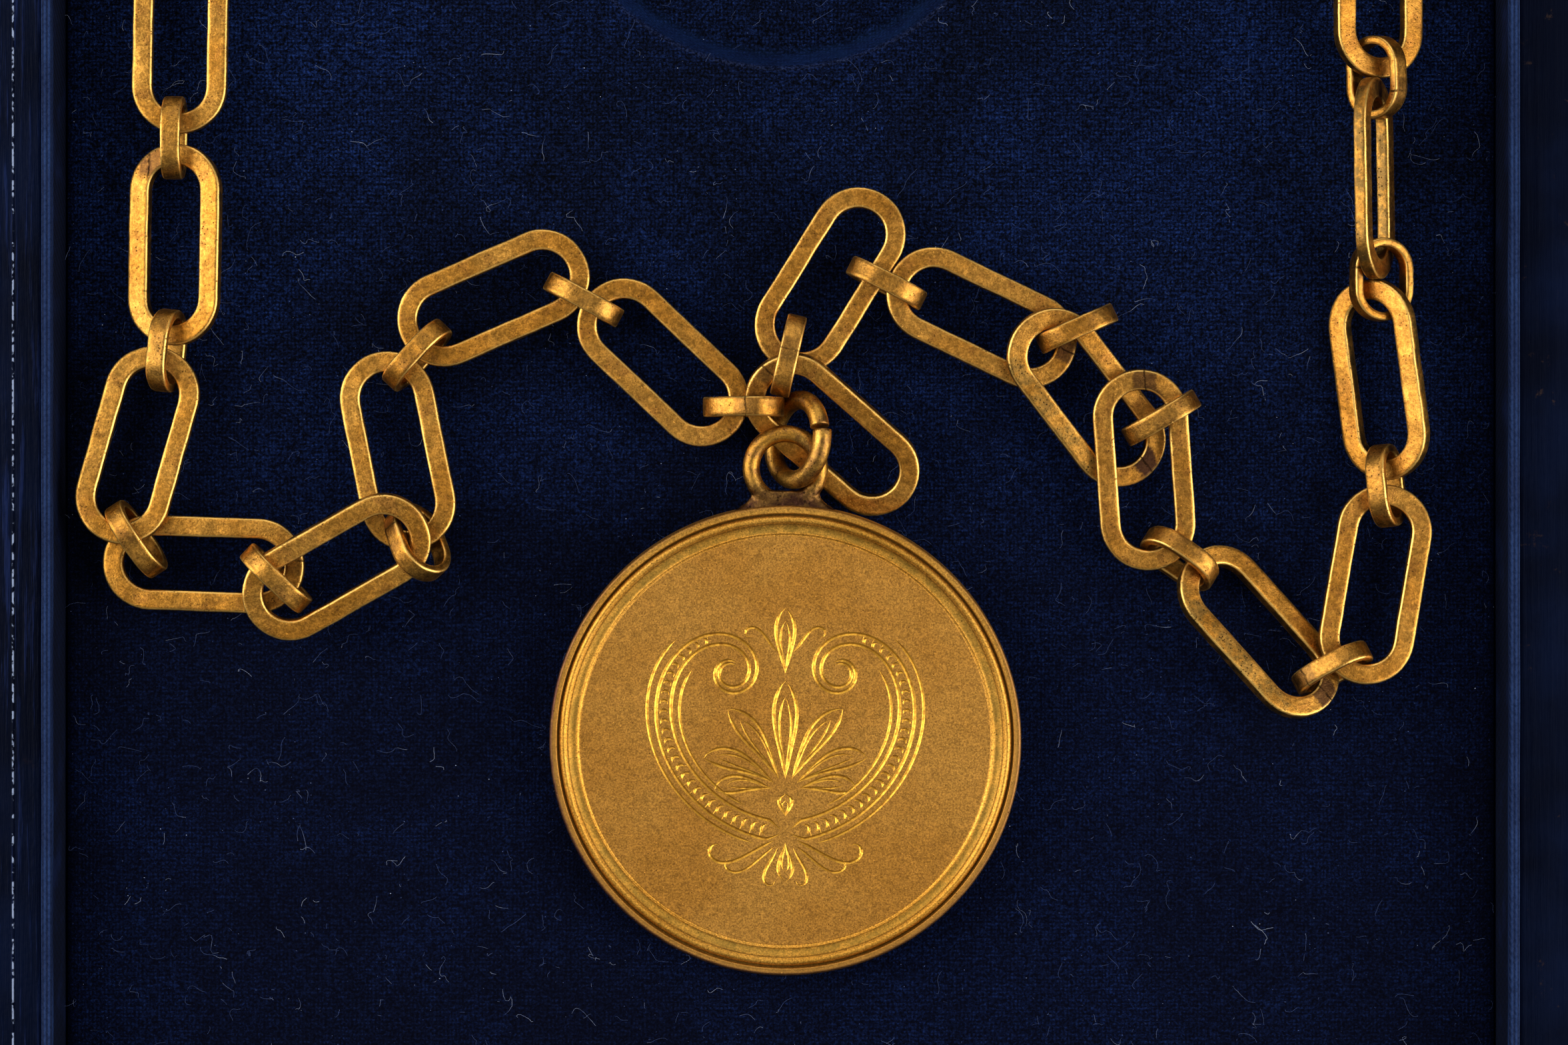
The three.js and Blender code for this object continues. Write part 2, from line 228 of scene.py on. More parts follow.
def worn_rim(wires, where, patch, brown, colour, dark):
    """The disc's browned outer band, dull cove and dark grooves. Also says where the cove is."""
    inward = wires.attribute("inward")
    across, upward, _ = wires.split(where)
    # Each band is told by how far in from the edge it lies, in mm, as in RIM
    browned = wires.product(wires.below(inward, 0.85, 1.1), wires.between(upward, -85.0, -55.0, 0.6, 0.15))
    colour = wires.blend(browned, colour, shade("a8763e"))
    bead = wires.between(inward, 2.0, 2.4, 0.28, 0.0)
    colour = wires.blend(bead, colour, shade("7c5622"))
    worn = wires.product(
        wires.between(patch, 0.4, 0.65, 0.95, 0.7),
        wires.between(across, -15.0, 20.0, 1.0, 0.6),
        wires.between(upward, -70.0, -50.0, 1.0, 0.5),
    )
    corner = wires.below(inward, 0.2, 0.55)
    colour = wires.blend(wires.product(corner, worn), colour, shade("4a2c2a"))
    step = wires.stripe(inward, 2.2, 2.3, 2.36, 2.5)
    dark = wires.math("MAXIMUM", dark, wires.product(step, 0.55))
    cove = wires.stripe(inward, 2.25, 2.6, 3.3, 3.5)
    dull = wires.product(cove, wires.between(patch, 0.35, 0.6, 0.3, 0.65))
    colour = wires.blend(dull, colour, shade("6e5a26"))
    edge = wires.stripe(inward, 3.75, 3.95, 3.9, 4.6)
    colour = wires.blend(wires.product(edge, 0.5), colour, brown)
    groove = wires.stripe(inward, 0.95, 1.08, 1.18, 1.34)
    dark = wires.math("MAXIMUM", dark, wires.product(groove, 0.8))
    return colour, dark, cove


def gilt(name, kind="plain"):
    """Matte gilt on brass: mottled, sandblasted, with brown tarnish and dark pits.

    kind says what else shows: "long" and "short" links have a dark solder seam, "disc" has dull
    and tarnished mouldings, "loop" has a brown solder neck.
    """
    settings = bpy.context.scene.medallion_metal
    material, wires, shader, where = new_material(name, metallic=1.0)
    broad = wires.cloud(where, 0.07 if kind == "disc" else 0.12, 4.0)
    mottle = wires.cloud(where, 0.9, 5.0, 0.62)
    patch = wires.cloud(where, 0.38, 6.0, 0.68, 0.4)
    grain = wires.cloud(where, 4.4, 3.0, 0.75)
    pits = wires.cells(where, 1.25)

    deep = (*settings.deep, 1.0)
    pale = (*settings.pale, 1.0)
    brown = (*settings.tarnish, 1.0)
    uneven = {"disc": 0.45, "loop": 1.3, "plain": 1.3}.get(kind, 1.0)
    spread = 0.5 * min(uneven, 1.0)
    colour = wires.blend(wires.between(broad, 0.35, 0.65, 0.5 - spread, 0.5 + spread), deep, pale)
    colour = wires.blend(wires.between(mottle, 0.3, 0.7, 0.0, 0.18), colour, pale)
    onset = 0.6 - 0.1 * uneven
    stain = wires.between(patch, onset, onset + 0.14, 0.0, min(1.0, settings.stain * uneven**2))
    colour = wires.blend(stain, colour, brown)
    sparkle = wires.between(grain, 0.3, 0.72, 0.5, 1.46)
    colour = wires.blend(1.0, colour, sparkle, "MULTIPLY")
    dark = wires.product(wires.below(pits, 0.06, 0.15), wires.between(mottle, 0.44, 0.54), 0.75)
    if kind != "disc":
        small_pits = wires.below(wires.cells(where, 2.0), 0.14, 0.3)
        crowd = wires.product(small_pits, wires.between(patch, 0.5, 0.58), 0.7)
        dark = wires.math("MAXIMUM", dark, crowd)
    matte = settings.roughness if kind == "disc" else settings.roughness - 0.1
    rough = wires.between(mottle, 0.25, 0.75, matte, matte + 0.12)
    rough = wires.math("ADD", rough, wires.math("MULTIPLY", grain, 0.16))

    if kind in ("long", "short"):
        colour, dark = worn_link(wires, where, kind, mottle, patch, colour, dark)
    elif kind == "disc":
        colour, dark, cove = worn_rim(wires, where, patch, brown, colour, dark)
        rough = wires.math("ADD", rough, wires.math("MULTIPLY", cove, 0.1))
    else:
        colour = wires.blend(0.45, colour, shade("80602e"))
    if kind == "loop":
        neck = wires.attribute("foot")
        burnt = wires.product(neck, wires.between(patch, 0.32, 0.6, 0.75, 1.0))
        colour = wires.blend(burnt, colour, shade("40271c"))
        dark = wires.math("MAXIMUM", dark, wires.product(wires.below(pits, 0.15, 0.3), neck, 0.8))

    colour = wires.blend(dark, colour, shade("1d120a"))
    rough = wires.math("ADD", rough, wires.math("MULTIPLY", dark, 0.25), clamp=True)
    wires.plug(shader.inputs["Base Color"], colour)
    wires.plug(shader.inputs["Roughness"], rough)
    skin = wires.bump(grain, (0.018 if kind == "disc" else 0.03) * MM)
    skin = wires.bump(mottle, 0.03 * MM, under=skin)
    hollow = wires.between(pits, 0.03, 0.14)
    skin = wires.bump(hollow, 0.03 * MM, under=skin)
    if kind != "disc":
        skin = wires.bump(wires.cloud(where, 0.2, 1.0), 0.4 * MM, under=skin)
    wires.plug(shader.inputs["Normal"], skin)
    return material


def bright_cut():
    """The polished walls of an engraved line."""
    material, wires, shader, where = new_material("bright cut gold", metallic=1.0)
    mottle = wires.cloud(where, 2.0, 3.0)
    colour = wires.blend(wires.between(mottle, 0.4, 0.7), shade("d09a36"), shade("a27028"))
    wires.plug(shader.inputs["Base Color"], colour)
    wires.plug(shader.inputs["Roughness"], wires.between(mottle, 0.3, 0.7, 0.36, 0.46))
    wires.plug(shader.inputs["Normal"], wires.bump(wires.cloud(where, 6.0, 2.0), 0.01 * MM))
    return material


def velvet():
    """Short navy pile with a fine weave, brushed this way and that."""
    settings = bpy.context.scene.medallion_case
    sheen = {
        "Sheen Weight": 0.2,
        "Sheen Roughness": 0.3,
        "Sheen Tint": shade("2346a4"),
        "Roughness": 0.95,
        "Specular IOR Level": 0.04,
    }
    material, wires, shader, where = new_material("navy velvet", **sheen)
    brushed = wires.cloud(where, 0.03, 6.0, 0.66, 0.8)
    nap = wires.cloud(where, 0.35, 4.0, 0.6)
    pile = wires.cloud(where, 2.8, 4.0, 0.8)
    thread = {"Vector": where, "Scale": 0.64, "Distortion": 2.2, "Detail": 2.0, "Detail Scale": 2.0}
    warp = wires.add("ShaderNodeTexWave", thread)
    weft = wires.add("ShaderNodeTexWave", thread, bands_direction="Y")
    weave = wires.math("MULTIPLY", warp.outputs["Fac"], weft.outputs["Fac"])
    rowed = wires.add("ShaderNodeMapping", {"Vector": where, "Scale": (0.5, 1.4, 1.0)}).outputs[0]
    dark = (*settings.velvet, 1.0)
    light = (*settings.velvet_light, 1.0)
    tone = wires.product(
        wires.between(brushed, 0.36, 0.66, 0.22, 0.95), wires.between(nap, 0.3, 0.75, 0.55, 1.0)
    )
    colour = wires.blend(tone, dark, light)
    tufts = wires.product(
        wires.between(pile, 0.4, 0.64, 0.05, 2.6),
        wires.between(weave, 0.0, 0.5, 0.62, 1.4),
        wires.between(wires.cloud(rowed, 1.5, 3.0, 0.7), 0.36, 0.64, 0.55, 1.5),
    )
    colour = wires.blend(1.0, colour, tufts, "MULTIPLY")
    # A little darker towards the near end
    x, y, _ = wires.split(where)
    colour = wires.blend(wires.between(y, -90.0, 10.0, 0.5, 0.0), colour, shade("040514"))
    # Painted sheen, patchy with the nap, on the well's wall inside its lip, and a painted pale highlight
    # along the lip
    off_middle = wires.math("SUBTRACT", y, settings.well_y / MM)
    squares = wires.math("ADD", wires.product(x, x), wires.product(off_middle, off_middle))
    outwards = wires.math("SUBTRACT", wires.math("SQRT", squares), settings.well_radius / MM)
    wall_sheen = wires.stripe(outwards, -3.6, -1.8, -0.8, 0.0)
    wall_sheen = wires.product(wall_sheen, wires.between(nap, 0.3, 0.7, 0.1, 0.45))
    colour = wires.blend(wall_sheen, colour, shade("0a1d38"))
    lip_highlight = wires.stripe(outwards, -0.5, -0.1, 0.1, 0.5)
    lip_highlight = wires.product(lip_highlight, wires.between(pile, 0.44, 0.64, 0.0, 0.35))
    colour = wires.blend(lip_highlight, colour, shade("343c58"))
    wires.plug(shader.inputs["Base Color"], colour)
    skin = wires.bump(weave, 0.06 * MM)
    skin = wires.bump(pile, 0.22 * MM, under=skin)
    skin = wires.bump(nap, 0.35 * MM, under=skin)
    wires.plug(shader.inputs["Normal"], skin)
    return material


def ribbon():
    """Ribbed satin ribbon over the top of a lining board, dark twill down its face."""
    material, wires, shader, where = new_material("ribbed ribbon", **{"Specular IOR Level": 0.07})
    settings = bpy.context.scene.medallion_case
    x, y, z = wires.split(where)
    _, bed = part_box("velvet_pad")
    _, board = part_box("lining_left")
    off_side = wires.math("SUBTRACT", wires.math("ABSOLUTE", x), bed.x / MM)
    off_end = wires.math("SUBTRACT", wires.math("ABSOLUTE", y), bed.y / MM)
    from_bed = wires.math("MAXIMUM", off_side, off_end)
    top = board.z / MM
    on_top = wires.between(z, top - 1.4, top - 0.7)
    ribs = wires.between(wires.math("SINE", wires.math("MULTIPLY", from_bed, 12.0)), -1.0, 1.0)
    twilled = {"Vector": where, "Scale": 0.55, "Distortion": 0.4}
    twill = wires.add("ShaderNodeTexWave", twilled, bands_direction="DIAGONAL").outputs["Fac"]
    fibre = wires.cloud(where, 2.5, 4.0, 0.65)
    rubbed = wires.cloud(where, 0.12, 5.0)
    blue = wires.blend(wires.between(rubbed, 0.35, 0.7), (*settings.ribbon, 1.0), shade("1b2e54"))
    blue = wires.blend(wires.between(ribs, 0.0, 0.6, 0.75, 0.0), blue, shade("060c20"))
    cloth = wires.blend(wires.between(twill, 0.1, 0.7), shade("020409"), shade("080e22"))
    cloth = wires.blend(wires.between(rubbed, 0.5, 0.75, 0.0, 0.4), cloth, shade("101c40"))
    colour = wires.blend(on_top, cloth, blue)
    colour = wires.blend(wires.between(fibre, 0.45, 0.75, 0.0, 0.45), colour, shade("02030a"))
    wires.plug(shader.inputs["Base Color"], colour)
    wires.plug(shader.inputs["Roughness"], wires.between(fibre, 0.3, 0.7, 0.55, 0.85))
    height = wires.math("ADD", ribs, wires.math("MULTIPLY", twill, 0.6))
    skin = wires.bump(height, 0.12 * MM)
    skin = wires.bump(fibre, 0.06 * MM, under=skin)
    wires.plug(shader.inputs["Normal"], skin)
    return material


def leather():
    """Dark navy leather over board: smooth, streaky and painted with highlights on the left, dull and worn on
    the right.
    """
    settings = bpy.context.scene.medallion_case
    material, wires, shader, where = new_material("navy leather", **{"Specular IOR Level": 0.03})
    grain = wires.cells(where, 1.6, feature="SMOOTH_F1")
    broad = wires.cloud(where, 0.06, 5.0)
    scuffs = wires.cloud(where, 0.35, 6.0, 0.7)
    drawn_out = wires.add("ShaderNodeMapping", {"Vector": where, "Scale": (1.0, 0.035, 1.0)}).outputs[0]
    streaks = wires.cloud(drawn_out, 1.5, 4.0, 0.7)
    stitch = wires.cloud(where, 1.1, 2.0)
    x, _, z = wires.split(where)
    right = wires.between(x, -40.0, 60.0)
    left = wires.math("SUBTRACT", 1.0, right)
    _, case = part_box("case_shell")
    on_ledge = wires.between(z, case.z / MM - 0.4, case.z / MM - 0.2)
    streaks = wires.math("MULTIPLY", streaks, on_ledge)
    colour = wires.blend(wires.between(broad, 0.35, 0.7), (*settings.leather, 1.0), shade("040c22"))
    # Painted highlights: lighter blue along the glossy streaks on the left
    streak_highlight = wires.math("MULTIPLY", wires.between(streaks, 0.54, 0.66), left)
    colour = wires.blend(wires.math("MULTIPLY", streak_highlight, 0.5), colour, shade("18244c"))
    worn = wires.product(wires.between(scuffs, 0.62, 0.74), wires.between(right, 0.0, 1.0, 0.1, 0.75))
    colour = wires.blend(worn, colour, shade("33261f"))
    raised = 0.0
    for place in settings.highlit_lines:
        away = wires.math("ABSOLUTE", wires.math("SUBTRACT", x, place))
        raised = wires.math("ADD", raised, wires.below(away, 0.06, 0.2))
    raised = wires.math("MULTIPLY", raised, on_ledge)
    # Painted pale highlights, dotted, along the raised lines on the left ledge
    dotted_highlight = wires.math("MULTIPLY", raised, wires.between(stitch, 0.47, 0.57))
    colour = wires.blend(wires.math("MULTIPLY", dotted_highlight, 0.85), colour, shade("8f9cb8"))
    wires.plug(shader.inputs["Base Color"], colour)
    gloss = wires.between(streaks, 0.3, 0.7, 0.5, 0.36)
    rough = wires.math("ADD", gloss, wires.math("MULTIPLY", right, 0.25))
    wires.plug(shader.inputs["Roughness"], rough)
    skin = wires.bump(grain, 0.03 * MM)
    skin = wires.bump(streaks, 0.12 * MM, under=skin)
    skin = wires.bump(raised, 0.15 * MM, under=skin)
    wires.plug(shader.inputs["Normal"], skin)
    return material


def lint_finish():
    """Pale bluish dust and fibres, most of them faint."""
    material, wires, shader, where = new_material("pale lint", Roughness=0.9, **{"Specular IOR Level": 0.1})
    tone = wires.cloud(where, 0.16, 3.0)
    colour = wires.blend(wires.between(tone, 0.5, 0.68), shade("485680"), shade("a4acc4"))
    wires.plug(shader.inputs["Base Color"], colour)
    return material


# Mesh tools


def add_piece(name, mesh, *materials):
    """Puts a mesh in the scene, in the frame's own place."""
    obj = bpy.data.objects.new(name, mesh)
    bpy.context.scene.collection.objects.link(obj)
    for material in materials:
        mesh.materials.append(material)
    return obj


def mesh_from(name, points, faces, smooth=True):
    """A mesh from its corners and from the corners' numbers round each face."""
    mesh = bpy.data.meshes.new(name)
    mesh.from_pydata([tuple(p) for p in points], [], [tuple(f) for f in faces])
    mesh.polygons.foreach_set("use_smooth", [smooth] * len(mesh.polygons))
    mesh.update()
    return mesh


def finished(bm, name):
    """A mesh of what has been built, its faces turned outwards."""
    bmesh.ops.recalc_face_normals(bm, faces=bm.faces)
    mesh = bpy.data.meshes.new(name)
    bm.to_mesh(mesh)
    bm.free()
    return mesh


def smooth_all(mesh):
    mesh.polygons.foreach_set("use_smooth", [True] * len(mesh.polygons))


def on_circle(radius, angle):
    """X and Y of the point at an angle on a circle round the middle."""
    return radius * math.cos(angle), radius * math.sin(angle)


def turns(count):
    """Angles spaced evenly round a circle."""
    return [2 * math.pi * i / count for i in range(count)]


def settle(piece, slot_name, *nodes):
    """Ties a finished piece to the frame and hides the solids it stands for."""
    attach(piece, ROOT)
    if nodes:
        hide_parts(*nodes)
    return piece


def solid_points(node):
    """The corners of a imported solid, each once."""
    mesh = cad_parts[node].data
    co = np.zeros(len(mesh.vertices) * 3)
    mesh.vertices.foreach_get("co", co)
    return np.unique(np.round(co.reshape(-1, 3), 7), axis=0)


def link_frame(node, heading):
    """Where a link lies: its middle, and its turn with X along its heading."""
    points = solid_points(node)
    middle = points.mean(0)
    # The directions in which its points spread, the least first
    _, axes = np.linalg.eigh(np.cov((points - middle).T))
    along = Vector(axes[:, 2])
    across = Vector(axes[:, 1])
    if along.dot(heading) < 0:
        along.negate()
    standing = node.startswith("short")
    upward = across if standing else along.cross(across)
    if upward.z < 0:
        across.negate()
    turn = Matrix((along, across, along.cross(across))).transposed()
    return Vector(middle), turn


def frozen(obj):
    """The evaluated shape of an object as a plain mesh, its modifiers gone."""
    depsgraph = bpy.context.evaluated_depsgraph_get()
    depsgraph.update()
    mesh = bpy.data.meshes.new_from_object(obj.evaluated_get(depsgraph))
    obj.modifiers.clear()
    old = obj.data
    obj.data = mesh
    bpy.data.meshes.remove(old)
    return obj


# The chain, by geometry nodes


def new_tree(name, inputs):
    """A geometry node tree with named inputs. Returns its wiring and its group input's sockets."""
    tree = bpy.data.node_groups.new(name, "GeometryNodeTree")
    tree.interface.new_socket("Geometry", in_out="INPUT", socket_type="NodeSocketGeometry")
    for label, kind, value in inputs:
        socket = tree.interface.new_socket(label, in_out="INPUT", socket_type=kind)
        socket.default_value = value
    tree.interface.new_socket("Geometry", in_out="OUTPUT", socket_type="NodeSocketGeometry")
    wires = Wiring(tree)
    return wires, wires.add("NodeGroupInput").outputs


def grow(obj, tree, values):
    """Puts a geometry node tree on an object with these inputs, and freezes what it makes."""
    modifier = obj.modifiers.new(tree.name, "NODES")
    modifier.node_group = tree
    for item in tree.interface.items_tree:
        if item.item_type == "SOCKET" and item.in_out == "INPUT" and item.name in values:
            modifier[item.identifier] = values[item.name]
    obj.update_tag()
    return frozen(obj)


def oblong(wires, width, height, radius, corner_steps, steps):
    """A closed curve with four round corners, cut into even steps."""
    curve = wires.add("GeometryNodeCurvePrimitiveQuadrilateral", {"Width": width, "Height": height})
    corners = {"Curve": curve, "Radius": radius, "Count": corner_steps}
    curve = wires.add("GeometryNodeFilletCurve", corners, mode="POLY")
    return wires.add("GeometryNodeResampleCurve", {"Curve": curve, "Count": steps})


def link_tree(name, material):
    """One link at each point: an oval ring of flat bar with eased edges, each a little uneven."""
    sizes = [
        ("Length", "NodeSocketFloat", 0.0257),
        ("Width", "NodeSocketFloat", 0.0121),
        ("Bar", "NodeSocketFloat", 0.0026),
        ("Thickness", "NodeSocketFloat", 0.0017),
        ("Edge", "NodeSocketFloat", 0.0003),
        ("Steps", "NodeSocketInt", 84),
        ("Facets", "NodeSocketInt", 32),
        ("Unevenness", "NodeSocketFloat", 0.00018),
    ]
    wires, given = new_tree(name, sizes)
    middle_width = wires.math("SUBTRACT", given["Width"], given["Bar"])
    middle_length = wires.math("SUBTRACT", given["Length"], given["Bar"])
    # Just under half the width, so that the two corners at each end don't meet in one point
    end_radius = wires.product(middle_width, 0.499)
    route = oblong(wires, middle_length, middle_width, end_radius, 16, given["Steps"])
    route = wires.add("GeometryNodeSetCurveNormal", {"Curve": route}, mode="Z_UP")
    bar = oblong(wires, given["Bar"], given["Thickness"], given["Edge"], 4, given["Facets"])
    link = wires.add("GeometryNodeCurveToMesh", {"Curve": route, "Profile Curve": bar})
    # Its own millimetres, for the finish
    place = wires.add("GeometryNodeInputPosition")
    local = {"Geometry": link, "Name": "local", "Value": wires.vector("SCALE", place, 1 / MM)}
    link = wires.add("GeometryNodeStoreNamedAttribute", local, data_type="FLOAT_VECTOR", domain="POINT")
    turn = wires.add("GeometryNodeInputNamedAttribute", {"Name": "turn"}, data_type="FLOAT_VECTOR")
    turn = wires.add("FunctionNodeEulerToRotation", {0: turn})
    links = {"Points": given["Geometry"], "Instance": link, "Rotation": turn}
    whole = wires.add("GeometryNodeInstanceOnPoints", links)
    whole = wires.add("GeometryNodeRealizeInstances", {"Geometry": whole})
    rough = wires.add("ShaderNodeTexNoise", {"Vector": place, "Scale": 260.0, "Detail": 2.0})
    shift = wires.vector("SUBTRACT", rough.outputs["Color"], (0.5, 0.5, 0.5))
    shift = wires.vector("SCALE", shift, given["Unevenness"])
    whole = wires.add("GeometryNodeSetPosition", {"Geometry": whole, "Offset": shift})
    whole = wires.add("GeometryNodeSetShadeSmooth", {"Geometry": whole})
    whole = wires.add("GeometryNodeSetMaterial", {"Geometry": whole, "Material": material})
    wires.add("NodeGroupOutput", {"Geometry": whole})
    return wires.tree


# What a short link's node tree is given besides its sizes
SHORT_DETAIL = {"Edge": 0.00024, "Steps": 64, "Facets": 24}


def link_sizes(chain, kind):
    """The sizes of a long or short link, named as its node tree's inputs are."""
    parts = ("length", "width", "bar", "thickness")
    sizes = {part.title(): getattr(chain, f"{kind}_{part}") for part in parts}
    return sizes | SHORT_DETAIL if kind == "short" else sizes


def lay_links(name, rows, tree, sizes):
    """Makes all the links of one kind, one at each row's middle and turn."""
    mesh = mesh_from(name, [row[0] for row in rows], [])
    turned = mesh.attributes.new("turn", "FLOAT_VECTOR", "POINT")
    seams = mesh.attributes.new("seam", "FLOAT_VECTOR", "POINT")
    for i, (_, turn, seam) in enumerate(rows):
        turned.data[i].vector = turn.to_euler("XYZ")
        seams.data[i].vector = seam
    return grow(add_piece(name, mesh), tree, sizes)


LONG_COUNT = 18
SHORT_COUNT = 17

# The links whose solder seam or stain stands out. For a long link: which end it is at, how far it lies
# beside the link's middle line in mm, and how dark the stain is.
LONG_SEAMS = {
    2: (-1, -3.4, 0.79),
    4: (1, 0.9, 0.4),
    6: (-1, 0.9, 0.7),
    9: (-1, 0.9, 0.5),
    11: (1, 0.9, 0.78),
    12: (1, 0.9, 1.0),
    13: (-1, 0.9, 0.78),
    14: (1, 0.9, 0.9),
}
# For a short link: how far the seam lies from the link's middle in mm, and how dark the stain is.
SHORT_SEAMS = {5: (2.0, 0.5), 8: (2.2, 0.4), 9: (0.0, 0.4), 14: (-3.0, 0.6), 16: (1.5, 0.6), 17: (-2.0, 0.5)}

# How far off its middle a short link's seam can lie, and how dark stains are elsewhere
SEAM_SPREAD = 3.0
FAINT_STAIN = 0.1
HIDDEN_STAIN = 0.3


def chain_rows():
    """The visible links' places: rows of middle, turn and seam for the long links and the short ones.

    The last two results are the names of their solids, in the same order.
    """
    long_names = [f"long_link_{i:02d}" for i in range(1, LONG_COUNT + 1)]
    short_names = [f"short_link_{i:02d}" for i in range(1, SHORT_COUNT + 1)]
    order = [None] * (LONG_COUNT + SHORT_COUNT)
    order[0::2] = long_names
    order[1::2] = short_names
    middles = [Vector(solid_points(n).mean(0)) for n in order]
    rng = random.Random(11)
    long_rows, short_rows = [], []
    for i, node in enumerate(order):
        before = middles[max(i - 1, 0)]
        after = middles[min(i + 1, len(order) - 1)]
        middle, turn = link_frame(node, after - before)
        number = int(node[-2:])
        if node.startswith("long"):
            end, beside, stain = LONG_SEAMS.get(number, (rng.choice((-1, 1)), 0.9, FAINT_STAIN))
            long_rows.append((middle, turn, (end, beside, stain)))
        else:
            off, stain = SHORT_SEAMS.get(number, (rng.uniform(-SEAM_SPREAD, SEAM_SPREAD), FAINT_STAIN))
            short_rows.append((middle, turn, (off, 0.0, stain)))
    return long_rows, short_rows, long_names, short_names


def way_round(start, end, distance, chain):
    """A point on the hidden stretch's way: up the left side, across, and down the right."""
    bend_radius = chain.corner
    across = end.x - start.x - 2 * bend_radius
    bend = math.pi / 2 * bend_radius
    total = chain.hidden_links * chain.pitch
    rise = (total - 2 * bend - across + start.y + end.y) / 2
    left = distance
    if left < rise - start.y:
        return Vector((start.x, start.y + left))
    left -= rise - start.y
    if left < bend:
        a = left / bend_radius
        return Vector((start.x + bend_radius * (1 - math.cos(a)), rise + bend_radius * math.sin(a)))
    left -= bend
    if left < across:
        return Vector((start.x + bend_radius + left, rise + bend_radius))
    left -= across
    if left < bend:
        a = left / bend_radius
        return Vector((end.x - bend_radius * (1 - math.sin(a)), rise + bend_radius * math.cos(a)))
    return Vector((end.x, rise - (left - bend)))


def hidden_rows(first, last, chain):
    """The places of the hidden stretch's links, from the first visible link round to the last."""
    short_past_long = 1.9 * MM
    reach = chain.long_length / 2 - chain.long_bar / 2 + short_past_long
    start = Vector((first.x, first.y + reach))
    end = Vector((last.x, last.y + reach))
    joints = [way_round(start, end, i * chain.pitch, chain) for i in range(chain.hidden_links + 1)]
    steps = [b - a for a, b in zip(joints, joints[1:])]
    headings = [90.0, *(math.degrees(math.atan2(s.y, s.x)) for s in steps), -90.0]
    foot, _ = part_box("chain_back")
    # Its short links stand on the bed
    ring_height = foot.z + chain.short_width / 2
    rng = random.Random(5)
    long_rows, short_rows = [], []
    for i, joint in enumerate(joints):
        heading = math.radians((headings[i] + headings[i + 1]) / 2)
        turn = (Matrix.Rotation(heading, 3, "Z") @ Matrix.Rotation(math.pi / 2, 3, "X")).to_3x3()
        seam = (rng.uniform(-SEAM_SPREAD, SEAM_SPREAD), 0.0, HIDDEN_STAIN)
        short_rows.append((Vector((*joint, ring_height)), turn, seam))
        if i == 0:
            continue
        middle = (joints[i - 1] + joint) / 2
        turn = Matrix.Rotation(math.radians(headings[i]), 3, "Z")
        place = Vector((*middle, ring_height - chain.hidden_sink))
        long_rows.append((place, turn, (rng.choice((-1, 1)), 0.0, HIDDEN_STAIN)))
    return long_rows, short_rows


# The engraving: an upright palmette, the same on both sides. All of it is in mm.

# From one point of a line to the next
STROKE_STEP = 0.45
# Half the width of a bold stroke, of a crescent's and of a bar's
BOLD, MEDIUM, FINE = 0.23, 0.2, 0.12
# A stroke of this half width is cut to the full depth, and a wider one deeper
FULL_DEPTH_HALF_WIDTH = 0.16


def scroll(x, y, heading, length, bend_start, bend_end, power):
    """A line that starts at a heading and bends more and more, as a tendril does.

    The bends are in degrees per mm, and the greater power is, the later the last one sets in.
    """
    count = max(2, round(length / STROKE_STEP))
    points = [Vector((x, y))]
    angle = math.radians(heading)
    for i in range(count):
        share = (i + 0.5) / count
        angle += math.radians(bend_start + (bend_end - bend_start) * share**power) * length / count
        x += math.cos(angle) * length / count
        y += math.sin(angle) * length / count
        points.append(Vector((x, y)))
    return points


def sideways(points, offset):
    """The same line moved sideways, by a fixed distance or by one for each point."""
    moved = []
    for i, point in enumerate(points):
        before = points[max(i - 1, 0)]
        after = points[min(i + 1, len(points) - 1)]
        across = (after - before).normalized().orthogonal()
        moved.append(point + across * (offset[i] if hasattr(offset, "__len__") else offset))
    return moved


def band(points, wide, narrow):
    """A ribbon band along a line: its two edges, with a punched crescent and a bar in each cell."""
    count = len(points)
    halves = []
    for i in range(count):
        share = (i / (count - 1)) ** 1.6
        halves.append((wide + (narrow - wide) * share) / 2 * min(1.0, (i + 1.2) / 5))
    strokes = [(sideways(points, halves), BOLD), (sideways(points, [-h for h in halves]), BOLD)]
    for i in range(5, int(count * 0.66), 3):
        along = (points[i + 1] - points[i - 1]).normalized()
        across = along.orthogonal()
        # The crescent is a little less than half a circle
        r = halves[i] * 0.52
        arc = []
        for k in range(9):
            a = math.radians(-88 + 176 * k / 8)
            arc.append(points[i] + across * (r * math.sin(a)) + along * (r * math.cos(a) - r * 0.45))
        strokes.append((arc, MEDIUM))
        edge = across * halves[i] * 0.92
        strokes.append(([points[i + 1] - edge, points[i + 1] - edge * 0.3], FINE))
    return strokes


def petal(points, half_width):
    """A petal along a line, widest past its middle, with a smaller one inside it."""
    strokes = []
    # Each one's share of the width, how far along the line it reaches, and its stroke's half width
    for share, reach, half in ((1.0, 1.0, BOLD), (0.5, 0.84, 0.15)):
        spine = points[: int(len(points) * reach)]
        widths = []
        for i in range(len(spine)):
            t = i / (len(spine) - 1)
            widths.append(half_width * share * math.sin(math.pi * t**1.7) ** 0.75)
        strokes.append((sideways(spine, widths), half))
        strokes.append((sideways(spine, [-w for w in widths]), half))
    return strokes


def upright_line(start, length):
    """Points straight up from a height on the middle line, or down where length is below zero."""
    count = round(abs(length) / STROKE_STEP)
    return [Vector((0.0, start + length * i / count)) for i in range(count + 1)]


# The side petals: heading, length, bend, half width
SIDE_PETALS = [(63, 12.0, -1.4, 1.4), (37, 10.6, -3.0, 1.35), (13, 8.0, -3.2, 1.15)]

# The petals on the middle line: start, length, half width
MIDDLE_PETALS = [(-5.2, 13.5, 1.6), (9.4, 9.0, 1.3), (-14.2, -5.4, 1.0), (-10.4, 3.0, 0.9)]

